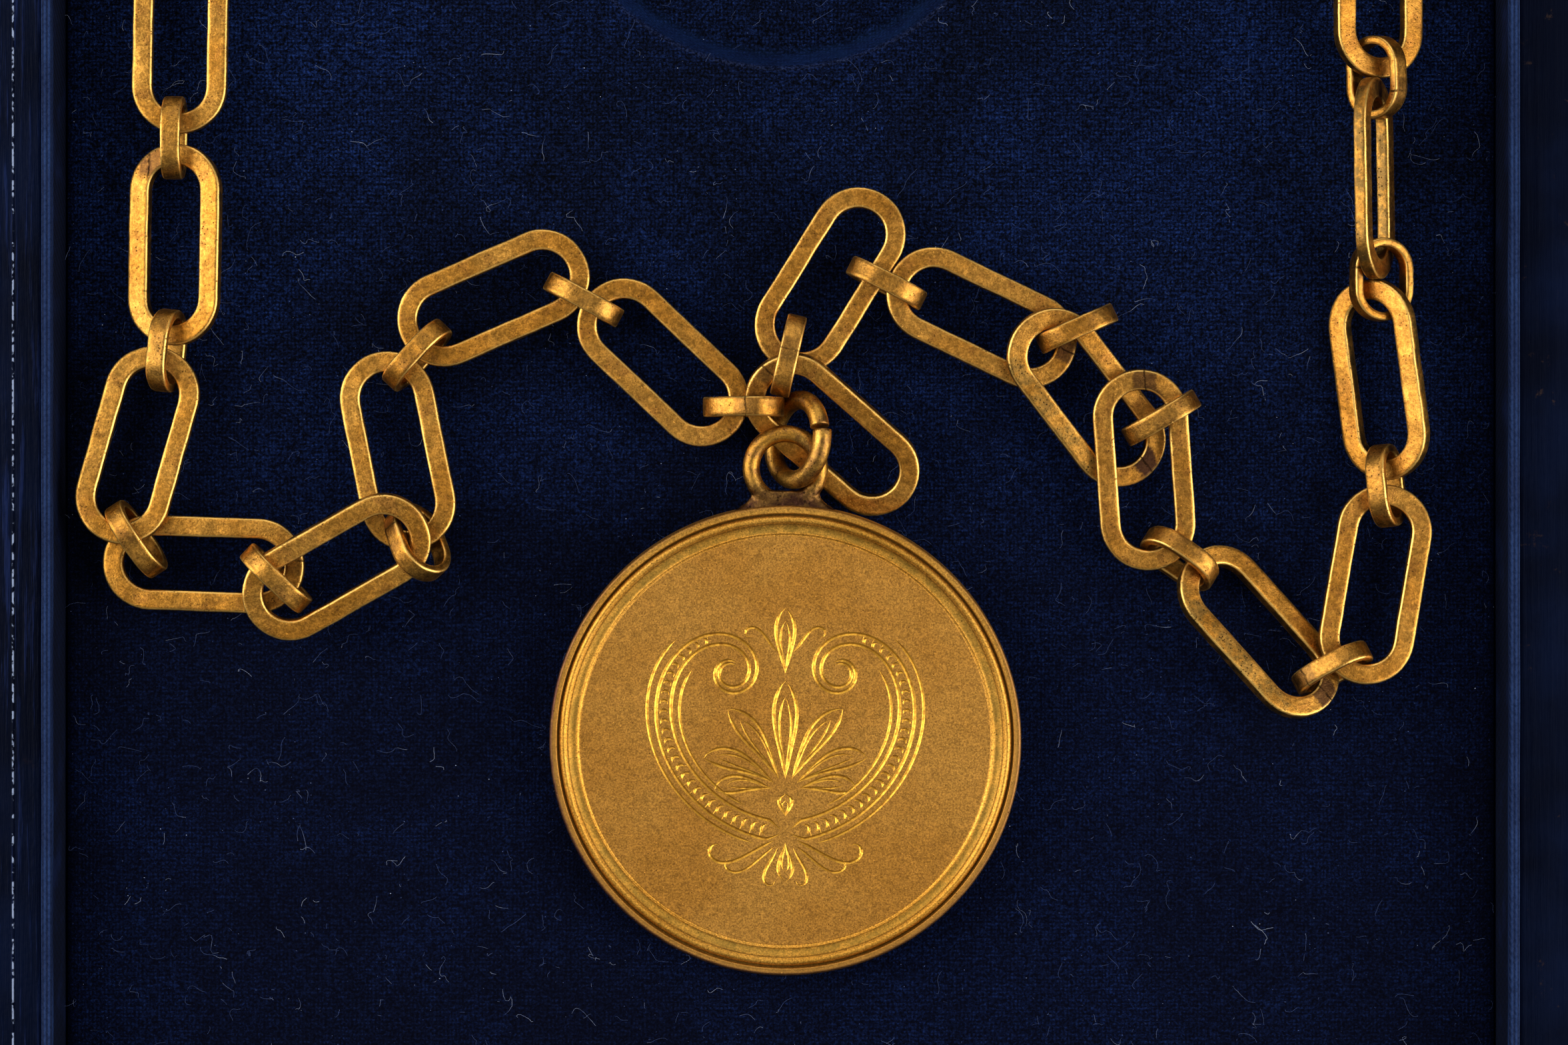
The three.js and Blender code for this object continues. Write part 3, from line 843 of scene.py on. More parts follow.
# The right side's tendrils: start across and up, heading, length, first and last bend, power, half width
TENDRILS = [
    (1.5, -13.8, -24, 12.6, -2.0, 78.0, 3.0, 0.22),
    (1.4, -14.6, -34, 9.8, -3.0, 86.0, 3.0, 0.18),
    (1.1, -14.9, -66, 7.0, 4.0, -115.0, 3.0, 0.2),
    (0.9, 12.2, 40, 7.6, 8.0, -120.0, 2.6, 0.2),
]


def ornament(scale):
    """All the strokes of the engraving, in mm about the disc's middle: points and half width.

    Seven petals over a bud stand inside two curled bands that meet below them. The left side
    mirrors the right. It is drawn 37 mm wide and then scaled.
    """
    curled = scroll(0.7, -12.6, 6, 58.0, 3.05, 38.0, 4.2)
    right = band(curled, 2.7, 0.35)
    # A plain line outside the band and one inside it
    right.append((sideways(curled[7:-52], -2.3), 0.19))
    right.append((sideways(curled[14:-56], 2.2), 0.18))
    for heading, length, bend, half_width in SIDE_PETALS:
        # They fan out from a point on the middle line, a little way off it
        x, y = on_circle(2.0, math.radians(heading))
        right += petal(scroll(x, y - 7.0, heading, length, bend * 0.4, bend * 3.4, 1.6), half_width)
    for *line, half in TENDRILS:
        right.append((scroll(*line), half))
    left = [([Vector((-p.x, p.y)) for p in line], half) for line, half in right]
    middle = []
    for start, length, half_width in MIDDLE_PETALS:
        middle += petal(upright_line(start, length), half_width)
    return [([p * scale for p in line], half) for line, half in right + left + middle]


def stroke_widths(count, half):
    """A graver's stroke: full along its middle and pointed at both ends."""
    ends = max(1, min(4, count // 3))
    return [half * min(1.0, (i + 0.35) / ends, (count - 1 - i + 0.35) / ends) for i in range(count)]


def engraved_field(radius, sides, depth, scale):
    """The flat field inside the rims, its engraved lines sunk to a V, in mm.

    Returns its points, its faces, and whether each face is the wall of a cut.
    """
    points = [Vector(on_circle(radius, a)) for a in turns(sides)]
    edges = [(i, (i + 1) % sides) for i in range(sides)]
    spines = []
    for line, half in ornament(scale):
        widths = stroke_widths(len(line), half)
        for side in (-1, 0, 1):
            first = len(points)
            points += sideways(line, [side * w for w in widths]) if side else line
            edges += [(first + i, first + i + 1) for i in range(len(line) - 1)]
        for a, b, wa, wb in zip(line, line[1:], widths, widths[1:]):
            spines.append((*a, *b, wa, wb))
    flat, _, faces, *_ = geometry.delaunay_2d_cdt(points, edges, [], 1, 1e-5)
    flat = np.array([tuple(p) for p in flat])
    sunk = cut_depths(flat, np.array(spines), depth)
    centres = np.array([np.mean(flat[list(f)], axis=0) for f in faces])
    cut = cut_depths(centres, np.array(spines), depth) < -0.04 * depth
    return np.column_stack([flat, sunk]), faces, cut


def cut_depths(places, spines, depth):
    """How deep the engraving is at each place: a V under every stroke."""
    deepest = np.zeros(len(places))
    for ax, ay, bx, by, wa, wb in spines:
        run = np.array([bx - ax, by - ay])
        length = max(run @ run, 1e-12)
        # Only the places within reach of this piece of the stroke
        near = np.abs(places - ((ax + bx) / 2, (ay + by) / 2)).max(1) < 1.2
        offset = places[near] - (ax, ay)
        share = np.clip(offset @ run / length, 0, 1)
        away = np.linalg.norm(offset - share[:, None] * run, axis=1)
        half = wa + (wb - wa) * share
        here = -depth * np.clip(1 - away / half, 0, 1) * half / FULL_DEPTH_HALF_WIDTH
        deepest[near] = np.minimum(deepest[near], here)
    return deepest


# The rim from the field outwards: how far in from the edge and how high above the field, in mm
RIM = [
    # A fine groove, then a small bead
    (3.9, 0.0), (3.84, -0.05), (3.76, -0.05), (3.7, 0.0),
    (3.64, 0.02), (3.58, 0.16), (3.5, 0.2), (3.43, 0.14), (3.38, 0.1),
    # The cove, then the broad bead
    (3.2, 0.06), (2.95, 0.08), (2.7, 0.16), (2.5, 0.28), (2.36, 0.42), (2.27, 0.5), (2.18, 0.6), (2.08, 0.7),
    (1.95, 0.79), (1.8, 0.83), (1.65, 0.8), (1.5, 0.72), (1.38, 0.6), (1.28, 0.46),
    # The deep groove
    (1.2, 0.34), (1.12, 0.28), (1.05, 0.32), (1.0, 0.5), (0.97, 0.7),
    # The flat outer band, then its rounded corner
    (0.93, 0.82), (0.87, 0.86), (0.75, 0.84), (0.6, 0.83), (0.45, 0.84), (0.34, 0.85),
    (0.24, 0.82), (0.14, 0.74), (0.06, 0.62), (0.015, 0.48), (0.0, 0.3),
]
# How high the outer band stands above the field, in mm
BAND_HEIGHT = 0.85


# Settings


class MedallionMetal(bpy.types.PropertyGroup):
    """Colours and wear of the gilt pieces."""

    deep: bpy.props.FloatVectorProperty(
        name="Deep gold",
        description="Gilding where it is rich",
        subtype="COLOR",
        size=3,
        default=shade("c28428")[:3],
    )
    pale: bpy.props.FloatVectorProperty(
        name="Pale gold",
        description="Gilding where it is rubbed",
        subtype="COLOR",
        size=3,
        default=shade("dca448")[:3],
    )
    tarnish: bpy.props.FloatVectorProperty(
        name="Tarnish",
        description="Brown of the tarnished patches",
        subtype="COLOR",
        size=3,
        default=shade("7a4a2a")[:3],
    )
    stain: bpy.props.FloatProperty(
        name="Staining", description="How strongly tarnish shows", default=0.5, min=0.0, max=1.0
    )
    roughness: bpy.props.FloatProperty(
        name="Roughness", description="How matte the gilding is", default=0.36, min=0.1, max=0.9
    )


class MedallionChain(bpy.types.PropertyGroup):
    """Sizes of the chain's links."""

    long_length: bpy.props.FloatProperty(
        name="Long link", description="Length of a long link", default=0.0257, unit="LENGTH"
    )
    long_width: bpy.props.FloatProperty(
        name="Long width", description="Width of a long link", default=0.0121, unit="LENGTH"
    )
    long_bar: bpy.props.FloatProperty(
        name="Long bar", description="Width of a long link's bar", default=0.0026, unit="LENGTH"
    )
    long_thickness: bpy.props.FloatProperty(
        name="Long thickness", description="Thickness of a long link's bar", default=0.0017, unit="LENGTH"
    )
    short_length: bpy.props.FloatProperty(
        name="Short link", description="Length of a short link", default=0.0106, unit="LENGTH"
    )
    short_width: bpy.props.FloatProperty(
        name="Short width", description="Width of a short link", default=0.008, unit="LENGTH"
    )
    short_bar: bpy.props.FloatProperty(
        name="Short bar", description="Thickness of a short link's band", default=0.0011, unit="LENGTH"
    )
    short_thickness: bpy.props.FloatProperty(
        name="Short band", description="Width of a short link's band", default=0.0025, unit="LENGTH"
    )
    hidden_links: bpy.props.IntProperty(
        name="Hidden links", description="Long links that lie round the well", default=10, min=1
    )
    pitch: bpy.props.FloatProperty(
        name="Pitch",
        description="From one short link to the next on the hidden stretch",
        default=0.0278,
        unit="LENGTH",
    )
    corner: bpy.props.FloatProperty(
        name="Bend", description="Radius of the hidden stretch's two bends", default=0.045, unit="LENGTH"
    )
    hidden_sink: bpy.props.FloatProperty(
        name="Sink",
        description="How far its long links lie below the short ones' middle",
        default=0.0009,
        unit="LENGTH",
    )


class MedallionDisc(bpy.types.PropertyGroup):
    """Sizes of the medallion and of its rings."""

    radius: bpy.props.FloatProperty(
        name="Radius", description="Radius of the disc", default=0.03, unit="LENGTH"
    )
    field: bpy.props.FloatProperty(
        name="Field", description="Thickness inside the rims", default=0.0024, unit="LENGTH"
    )
    prop: bpy.props.FloatProperty(
        name="Tilt", description="How far its loop is raised", default=math.radians(3.7), subtype="ANGLE"
    )
    x: bpy.props.FloatProperty(
        name="X", description="Middle of the disc across the case", default=0.0006, unit="LENGTH"
    )
    y: bpy.props.FloatProperty(
        name="Y", description="Middle of the disc along the case", default=-0.078, unit="LENGTH"
    )
    cut_depth: bpy.props.FloatProperty(
        name="Engraving", description="Depth of the engraved lines", default=0.0001, unit="LENGTH"
    )
    ornament_scale: bpy.props.FloatProperty(
        name="Ornament", description="Size of the engraving, 1 being 37 mm wide", default=0.92, min=0.1
    )
    loop_radius: bpy.props.FloatProperty(
        name="Loop", description="Radius to the middle of the loop's wire", default=0.00435, unit="LENGTH"
    )
    loop_wire: bpy.props.FloatProperty(
        name="Loop wire", description="Thickness of the loop", default=0.0022, unit="LENGTH"
    )
    ring_wire: bpy.props.FloatProperty(
        name="Ring wire", description="Thickness of the split ring", default=0.0024, unit="LENGTH"
    )


class MedallionCase(bpy.types.PropertyGroup):
    """Colours of the case and what lies on its velvet."""

    velvet: bpy.props.FloatVectorProperty(
        name="Velvet", description="Pile seen into", subtype="COLOR", size=3, default=shade("030613")[:3]
    )
    velvet_light: bpy.props.FloatVectorProperty(
        name="Brushed velvet",
        description="Pile brushed flat",
        subtype="COLOR",
        size=3,
        default=shade("081432")[:3],
    )
    ribbon: bpy.props.FloatVectorProperty(
        name="Ribbon",
        description="Top of the lining boards",
        subtype="COLOR",
        size=3,
        default=shade("152446")[:3],
    )
    leather: bpy.props.FloatVectorProperty(
        name="Leather", description="Case covering", subtype="COLOR", size=3, default=shade("010412")[:3]
    )
    # Raised lines on the left ledge, with painted dotted highlights along them
    highlit_lines: bpy.props.FloatVectorProperty(
        name="Tooled lines",
        description="Lines pressed in the left ledge, across the case in mm",
        size=2,
        default=(-99.9, -97.6),
    )
    fibres: bpy.props.IntProperty(
        name="Fibres", description="Curly lint fibres on the velvet", default=2900, min=0
    )
    specks: bpy.props.IntProperty(name="Specks", description="Dust specks on the velvet", default=1500, min=0)
    well_radius: bpy.props.FloatProperty(
        name="Well", description="Radius of the round well", default=0.0309, unit="LENGTH"
    )
    well_depth: bpy.props.FloatProperty(
        name="Well depth", description="Depth of the well", default=0.005, unit="LENGTH"
    )
    well_y: bpy.props.FloatProperty(
        name="Well Y", description="Middle of the well", default=0.039, unit="LENGTH"
    )


class MedallionStage(bpy.types.PropertyGroup):
    """Floor, light and camera."""

    key: bpy.props.FloatProperty(
        name="Side light", description="Power of the two side lights", default=7.3, min=0.0
    )
    fill: bpy.props.FloatProperty(
        name="Fill", description="Strength of the light all round", default=0.27, min=0.0
    )
    camera_height: bpy.props.FloatProperty(
        name="Camera", description="Height of the camera over the floor", default=0.5753, unit="LENGTH"
    )


# Operators


class MakeLongLinks(bpy.types.Operator):
    """Make the visible long links of flat bar"""

    bl_idname = "medallion.long_links"
    bl_label = "Long links"

    def execute(self, context):
        rows, _, nodes, _ = chain_rows()
        tree = link_tree("Long link", gilt("gilt long links", "long"))
        links = lay_links("long_links", rows, tree, link_sizes(context.scene.medallion_chain, "long"))
        settle(links, "gilt", *nodes)
        return {"FINISHED"}


class MakeShortLinks(bpy.types.Operator):
    """Make the visible short links that stand between the long ones"""

    bl_idname = "medallion.short_links"
    bl_label = "Short links"

    def execute(self, context):
        _, rows, _, nodes = chain_rows()
        tree = link_tree("Short link", gilt("gilt short links", "short"))
        links = lay_links("short_links", rows, tree, link_sizes(context.scene.medallion_chain, "short"))
        settle(links, "gilt", *nodes)
        return {"FINISHED"}


class MakeHiddenChain(bpy.types.Operator):
    """Make the stretch of chain that lies round the well"""

    bl_idname = "medallion.hidden_chain"
    bl_label = "Chain round the well"

    def execute(self, context):
        chain = context.scene.medallion_chain
        first = Vector(solid_points("long_link_01").mean(0))
        last = Vector(solid_points(f"long_link_{LONG_COUNT:02d}").mean(0))
        long_rows, short_rows = hidden_rows(first, last, chain)
        long_tree = bpy.data.node_groups["Long link"]
        short_tree = bpy.data.node_groups["Short link"]
        long_links = lay_links("chain_back_long", long_rows, long_tree, link_sizes(chain, "long"))
        short_links = lay_links("chain_back_short", short_rows, short_tree, link_sizes(chain, "short"))
        settle(long_links, "gilt", "chain_back")
        settle(short_links, "gilt", "chain_back")
        return {"FINISHED"}


def ring_frame(node):
    """The middle and the turn of a round ring, with X towards its cut."""
    points = solid_points(node)
    mean = points.mean(0)
    _, axes = np.linalg.eigh(np.cov((points - mean).T))
    through = Vector(axes[:, 0])
    flat = axes[:, 1:]
    places = (points - mean) @ flat
    # A circle fitted to points all round the wire has the ring's own middle
    sums = np.column_stack([2 * places, np.ones(len(places))])
    fit, *_ = np.linalg.lstsq(sums, (places**2).sum(1), rcond=None)
    middle = mean + flat @ fit[:2]
    offsets = (places - fit[:2]) / np.linalg.norm(places - fit[:2], axis=1)[:, None]
    angles = np.sort(np.arctan2(offsets[:, 1], offsets[:, 0]))
    gaps = np.diff(np.append(angles, angles[0] + 2 * math.pi))
    widest = int(np.argmax(gaps))
    cut = angles[widest] + gaps[widest] / 2
    towards = Vector(flat @ np.array([math.cos(cut), math.sin(cut)]))
    turn = Matrix((towards, through.cross(towards), through)).transposed()
    return Vector(middle), turn


def round_wire(points, wire, sides):
    """A round wire along open points, its ends closed with eased faces. Points and faces."""
    corners, faces = [], []
    count = len(points)
    for i, point in enumerate(points):
        tangent = (points[min(i + 1, count - 1)] - points[max(i - 1, 0)]).normalized()
        outward = Vector((point.x, point.y, 0)).normalized()
        across = tangent.cross(outward).normalized()
        outward = across.cross(tangent)
        for a in turns(sides):
            corners.append(point + (outward * math.cos(a) + across * math.sin(a)) * wire / 2)
    for i in range(count - 1):
        for k in range(sides):
            a, b = i * sides + k, i * sides + (k + 1) % sides
            faces.append((a, a + sides, b + sides, b))
    ease = 0.06 * MM
    for end, before in ((0, 1), (count - 1, count - 2)):
        push = (points[end] - points[before]).normalized() * ease
        inner = len(corners)
        for k in range(sides):
            corners.append(points[end] + (corners[end * sides + k] - points[end]) * 0.9 + push)
        hub = len(corners)
        corners.append(points[end] + push)
        for k in range(sides):
            n = (k + 1) % sides
            faces.append((end * sides + k, end * sides + n, inner + n, inner + k))
            faces.append((inner + k, inner + n, hub))
    return corners, faces


def recalculate(mesh):
    """Joins corners that meet and points every face outwards."""
    bm = bmesh.new()
    bm.from_mesh(mesh)
    bmesh.ops.remove_doubles(bm, verts=bm.verts, dist=1e-7)
    bmesh.ops.recalc_face_normals(bm, faces=bm.faces)
    bm.to_mesh(mesh)
    bm.free()
    mesh.update()


class MakeSplitRing(bpy.types.Operator):
    """Make the split ring of round wire"""

    bl_idname = "medallion.split_ring"
    bl_label = "Split ring"

    def execute(self, context):
        disc = context.scene.medallion_disc
        middle, turn = ring_frame("split_ring")
        radius = 5.1 * MM
        gap = math.radians(6.0)
        apart = 0.16 * MM
        count = 120
        path = []
        for i in range(count):
            share = i / (count - 1)
            a = gap / 2 + (2 * math.pi - gap) * share
            # Near the gap its two ends stand apart sideways
            askew = apart * (1 - 2 * share) * abs(math.cos(a / 2)) ** 3
            path.append(Vector((*on_circle(radius, a), askew)))
        points, faces = round_wire(path, disc.ring_wire, 28)
        placed = [middle + turn @ (p * (1 + 0.004 * noise.noise(p * 500))) for p in points]
        mesh = mesh_from("split_ring_wire", placed, faces)
        recalculate(mesh)
        obj = add_piece("split_ring_wire", mesh, gilt("gilt ring", "plain"))
        settle(obj, "gilt", "split_ring")
        return {"FINISHED"}


def disc_pose(disc):
    """The place of the medallion's middle plane, its loop raised on the middle link."""
    foot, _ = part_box("medallion")
    half = disc.field / 2 + BAND_HEIGHT * MM
    height = foot.z + disc.radius * math.sin(disc.prop) + half * math.cos(disc.prop)
    return Matrix.Translation((disc.x, disc.y, height)) @ Matrix.Rotation(disc.prop, 4, "X")


class MakeMedallion(bpy.types.Operator):
    """Make the medallion's disc with its rims and its engraving"""

    bl_idname = "medallion.disc"
    bl_label = "Medallion"

    def execute(self, context):
        disc = context.scene.medallion_disc
        radius = disc.radius / MM
        half = disc.field / MM / 2
        sides = 240
        rim_inset = RIM[0][0]
        field, field_faces, cut = engraved_field(
            radius - rim_inset, sides, disc.cut_depth / MM, disc.ornament_scale
        )
        points = [Vector((x, y, half + z)) for x, y, z in field]
        inward = [rim_inset] * len(points)
        faces = [tuple(f) for f in field_faces]
        # The rim in front, then a coarser one round the back
        profile = [(inset, half + height) for inset, height in RIM]
        profile += [(inset, -half - height) for inset, height in reversed(RIM[::2])]
        for inset, height in profile:
            points += [Vector((*on_circle(radius - inset, a), height)) for a in turns(sides)]
            inward += [inset] * sides
        for i in range(len(profile) - 1):
            ring = len(field) + i * sides
            for k in range(sides):
                a, b = ring + k, ring + (k + 1) % sides
                faces.append((a, b, b + sides, a + sides))
        # The plain back, and a mark that keeps the rim's finish off it
        last = len(points) - sides
        hub = len(points)
        points.append(Vector((0, 0, -half)))
        inward.append(9.0)
        faces += [(last + (k + 1) % sides, last + k, hub) for k in range(sides)]
        pose = disc_pose(disc)
        mesh = mesh_from("medallion_disc", [pose @ (p * MM) for p in points], faces)
        mark = mesh.attributes.new("inward", "FLOAT", "POINT")
        mark.data.foreach_set("value", inward)
        obj = add_piece("medallion_disc", mesh, gilt("gilt disc", "disc"), bright_cut())
        for face, is_cut in zip(mesh.polygons, cut):
            face.use_smooth = False
            face.material_index = int(is_cut)
        recalculate(mesh)
        settle(obj, "gilt", "medallion")
        return {"FINISHED"}


def bridge(bm, low, high):
    """Joins two closed rings of corners with a band of faces."""
    for a, b, c, d in zip(low, low[1:] + low[:1], high[1:] + high[:1], high):
        bm.faces.new((a, b, c, d))


def loop_ring(bm, middle, radius, wire):
    """The loop: a ring of round wire, its middle that far up from the disc's, in mm."""
    rings = []
    for a in turns(72):
        ring = []
        for b in turns(20):
            x, y = on_circle(radius + wire / 2 * math.cos(b), a)
            ring.append(bm.verts.new((x, middle + y, wire / 2 * math.sin(b))))
        rings.append(ring)
    for low, high in zip(rings, rings[1:] + rings[:1]):
        bridge(bm, low, high)


def solder_neck(bm, edge):
    """The neck: rounded sections from a wide foot on the disc's edge up into the loop, in mm."""
    foot_depth, rise = 1.1, 2.9
    count = 15
    sections = []
    for i in range(count):
        t = i / (count - 1)
        flare = (1 - t) ** 2
        width = 4.25 + 3.0 * flare
        depth = 1.05 + 0.3 * flare - 0.15 * t
        section = []
        for a in turns(36):
            x = math.copysign(abs(math.cos(a)) ** 0.6, math.cos(a)) * width
            z = math.copysign(abs(math.sin(a)) ** 0.8, math.sin(a)) * depth
            section.append(bm.verts.new((x, edge - foot_depth + rise * t, z)))
        sections.append(section)
    for low, high in zip(sections, sections[1:]):
        bridge(bm, low, high)
    bm.faces.new(list(reversed(sections[0])))
    bm.faces.new(sections[-1])


class MakeLoop(bpy.types.Operator):
    """Make the round-wire loop and its solder neck at the medallion's edge"""

    bl_idname = "medallion.loop"
    bl_label = "Loop and neck"

    def execute(self, context):
        disc = context.scene.medallion_disc
        radius = disc.radius / MM
        middle_past_edge = 4.7
        bm = bmesh.new()
        loop_ring(bm, radius + middle_past_edge, disc.loop_radius / MM, disc.loop_wire / MM)
        solder_neck(bm, radius)
        obj = add_piece("medallion_loop", finished(bm, "medallion_loop"))
        # Loop and neck are fused and softened in mm, before they are put in place
        fuse = obj.modifiers.new("fuse", "REMESH")
        fuse.mode = "VOXEL"
        fuse.voxel_size = 0.16
        soften = obj.modifiers.new("soften", "SMOOTH")
        soften.iterations = 9
        soften.factor = 0.5
        frozen(obj)
        mesh = obj.data
        pose = disc_pose(disc)
        foot = []
        for v in mesh.vertices:
            lump = noise.noise(v.co * 1.3) * 0.1 + noise.noise(v.co * 3.1) * 0.04
            # 1 on the neck, down to 0 a little way up the loop
            low = max(0.0, min(1.0, 1 - (v.co.y - radius - 1.5) / 2.4))
            foot.append(low)
            v.co = pose @ ((v.co * (1 + 0.002 * lump) + v.normal * lump * low) * MM)
        mark = mesh.attributes.new("foot", "FLOAT", "POINT")
        mark.data.foreach_set("value", foot)
        mesh.materials.append(gilt("gilt loop", "loop"))
        smooth_all(mesh)
        settle(obj, "gilt")
        return {"FINISHED"}


def bed_height(x, y, half_x, half_y, well_y, well_radius, well_depth):
    """How far the velvet lies above or below its level, in mm: rolled edges, a round well, soft waves."""
    edge = min(half_x - abs(x), half_y - abs(y))
    rolled = -0.9 * math.exp(-edge / 0.8)
    lip_drop = 0.75
    wall_width = 2.7
    outwards = math.hypot(x, y - well_y) - well_radius
    if outwards < 0:
        inwards = min(1.0, -outwards / wall_width)
        sink = -lip_drop - (well_depth - lip_drop) * (3 * inwards**2 - 2 * inwards**3) ** 0.8
    else:
        ridge = 0.22 * math.exp(-(((outwards - 2.2) / 1.1) ** 2))
        sink = ridge - lip_drop * math.exp(-outwards / 0.7)
    wave = 0.1 * noise.noise(Vector((x, y, 0)) / 14.0) + 0.05 * noise.noise(Vector((x, y, 7)) / 4.5)
    return rolled + sink + min(wave, 0.1)


# Where the bed's points lie closer together, in mm: in from its edge, and out from the well's lip
EDGE_INSETS = (0.4, 0.9, 1.6, 2.6)
LIP_RINGS = (-4.6, -3.4, -2.8, -2.4, -2.0, -1.6, -1.2, -0.8, -0.4, -0.1, 0.2, 0.6, 1.1, 1.9, 2.9)


def bed_points(half_x, half_y, well_y, well_radius):
    """The bed's points seen from above, in mm, and how many of them, the first ones, are its border."""
    columns, lines = 80, 108
    border = [Vector((-half_x + 2 * half_x * i / columns, -half_y)) for i in range(columns)]
    border += [Vector((half_x, -half_y + 2 * half_y * i / lines)) for i in range(lines)]
    border += [-p for p in border]
    points = list(border)
    for inset in EDGE_INSETS:
        for p in border:
            x = max(-half_x + inset, min(half_x - inset, p.x))
            y = max(-half_y + inset, min(half_y - inset, p.y))
            points.append(Vector((x, y)))
    for outwards in LIP_RINGS:
        for a in turns(144):
            x, y = on_circle(well_radius + outwards, a)
            points.append(Vector((x, well_y + y)))
    # Scattered points between the close ones
    rng = random.Random(3)
    step, margin, shake = 2.1, 2.4, 0.5
    for i in range(int(2 * half_x / step) + 1):
        for j in range(int(2 * half_y / step) + 1):
            x = -half_x + margin + i * step + rng.uniform(-shake, shake)
            y = -half_y + margin + j * step + rng.uniform(-shake, shake)
            outwards = math.hypot(x, y - well_y) - well_radius
            inside = abs(x) < half_x - 3.2 and abs(y) < half_y - 3.2
            if inside and not -5.0 < outwards < 3.6:
                points.append(Vector((x, y)))
    return points, len(border)


class MakeVelvetBed(bpy.types.Operator):
    """Make the velvet-covered bed with its round well"""

    bl_idname = "medallion.velvet_bed"
    bl_label = "Velvet bed"

    def execute(self, context):
        case = context.scene.medallion_case
        low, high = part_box("velvet_pad")
        plan = (high.x / MM, high.y / MM, case.well_y / MM, case.well_radius / MM)
        points, border = bed_points(*plan)
        edges = [(i, (i + 1) % border) for i in range(border)]
        flat, _, faces, *_ = geometry.delaunay_2d_cdt(points, edges, [], 1, 1e-4)
        bm = bmesh.new()
        verts = []
        for p in flat:
            height = high.z / MM + bed_height(p.x, p.y, *plan, case.well_depth / MM)
            verts.append(bm.verts.new(Vector((p.x, p.y, height)) * MM))
        for f in faces:
            bm.faces.new([verts[i] for i in f])
        bmesh.ops.recalc_face_normals(bm, faces=bm.faces)
        # Walls straight down from the border, and a flat underside
        walls = bmesh.ops.extrude_edge_only(bm, edges=[e for e in bm.edges if e.is_boundary])
        for v in walls["geom"]:
            if isinstance(v, bmesh.types.BMVert):
                v.co.z = low.z
        bmesh.ops.contextual_create(bm, geom=[e for e in bm.edges if e.is_boundary])
        mesh = finished(bm, "velvet_bed")
        mesh.polygons.foreach_set("use_smooth", [p.normal.z > 0.2 for p in mesh.polygons])
        obj = add_piece("velvet_bed", mesh, velvet())
        settle(obj, "velvet", "velvet_pad", "well_floor")
        return {"FINISHED"}


def rounded_board(low, high, edge, wobble, seed):
    """A board with rounded edges, a little uneven."""
    size = high - low
    bm = bmesh.new()
    bmesh.ops.create_cube(bm, size=1.0)
    middle = (low + high) / 2
    for v in bm.verts:
        v.co = Vector((v.co.x * size.x, v.co.y * size.y, v.co.z * size.z)) + middle
    bmesh.ops.bevel(bm, geom=list(bm.edges), offset=edge, segments=4, profile=0.6, affect="EDGES")
    longest = 0 if size.x > size.y else 1
    # Cuts across it every few millimetres, so that it can bend
    cuts = int(size[longest] / (4 * MM))
    for i in range(1, cuts):
        place = Vector(middle)
        place[longest] = low[longest] + size[longest] * i / cuts
        normal = Vector((0, 0, 0))
        normal[longest] = 1
        geom = list(bm.verts) + list(bm.edges) + list(bm.faces)
        bmesh.ops.bisect_plane(bm, geom=geom, plane_co=place, plane_no=normal)
    for v in bm.verts:
        along = v.co[longest] / MM
        shift = noise.noise(Vector((along / 9.0, v.co.z / MM / 7.0, seed))) * wobble
        v.co[1 - longest] += shift
        if v.co.z > middle.z:
            v.co.z += noise.noise(Vector((along / 12.0, seed + 5.0, 0))) * wobble - wobble * 0.6
    return bm


class MakeLinings(bpy.types.Operator):
    """Make the four ribbon-covered lining boards"""

    bl_idname = "medallion.linings"
    bl_label = "Lining boards"

    def execute(self, context):
        finish = ribbon()
        for seed, node in enumerate(("lining_left", "lining_right", "lining_near", "lining_far")):
            low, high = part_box(node)
            bm = rounded_board(low, high, edge=0.55 * MM, wobble=0.06 * MM, seed=seed * 3.7)
            mesh = finished(bm, node + "_cover")
            smooth_all(mesh)
            settle(add_piece(node + "_cover", mesh, finish), "ribbon", node)
        return {"FINISHED"}


class MakeCaseShell(bpy.types.Operator):
    """Make the leather-covered tray"""

    bl_idname = "medallion.case_shell"
    bl_label = "Leather case"

    def execute(self, context):
        _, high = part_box("case_shell")
        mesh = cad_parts["case_shell"].data.copy()
        bm = bmesh.new()
        bm.from_mesh(mesh)
        bmesh.ops.remove_doubles(bm, verts=bm.verts, dist=1e-6)
        bmesh.ops.dissolve_limit(bm, angle_limit=math.radians(1.0), verts=bm.verts, edges=bm.edges)
        # Only the sharp edges round its top and its foot are rounded
        eased = []
        for e in bm.edges:
            heights = [v.co.z for v in e.verts]
            sharp = len(e.link_faces) == 2 and e.calc_face_angle(0) > math.radians(50)
            if sharp and (min(heights) > high.z - 1e-5 or max(heights) < 1e-5):
                eased.append(e)
        bmesh.ops.bevel(bm, geom=eased, offset=0.9 * MM, segments=4, profile=0.5, affect="EDGES")
        bm.to_mesh(mesh)
        bm.free()
        mesh.name = "case_leather"
        mesh.materials.clear()
        smooth_all(mesh)
        obj = add_piece("case_leather", mesh, leather())
        flat = obj.modifiers.new("flat faces", "WEIGHTED_NORMAL")
        flat.keep_sharp = True
        frozen(obj)
        settle(obj, "leather", "case_shell")
        return {"FINISHED"}


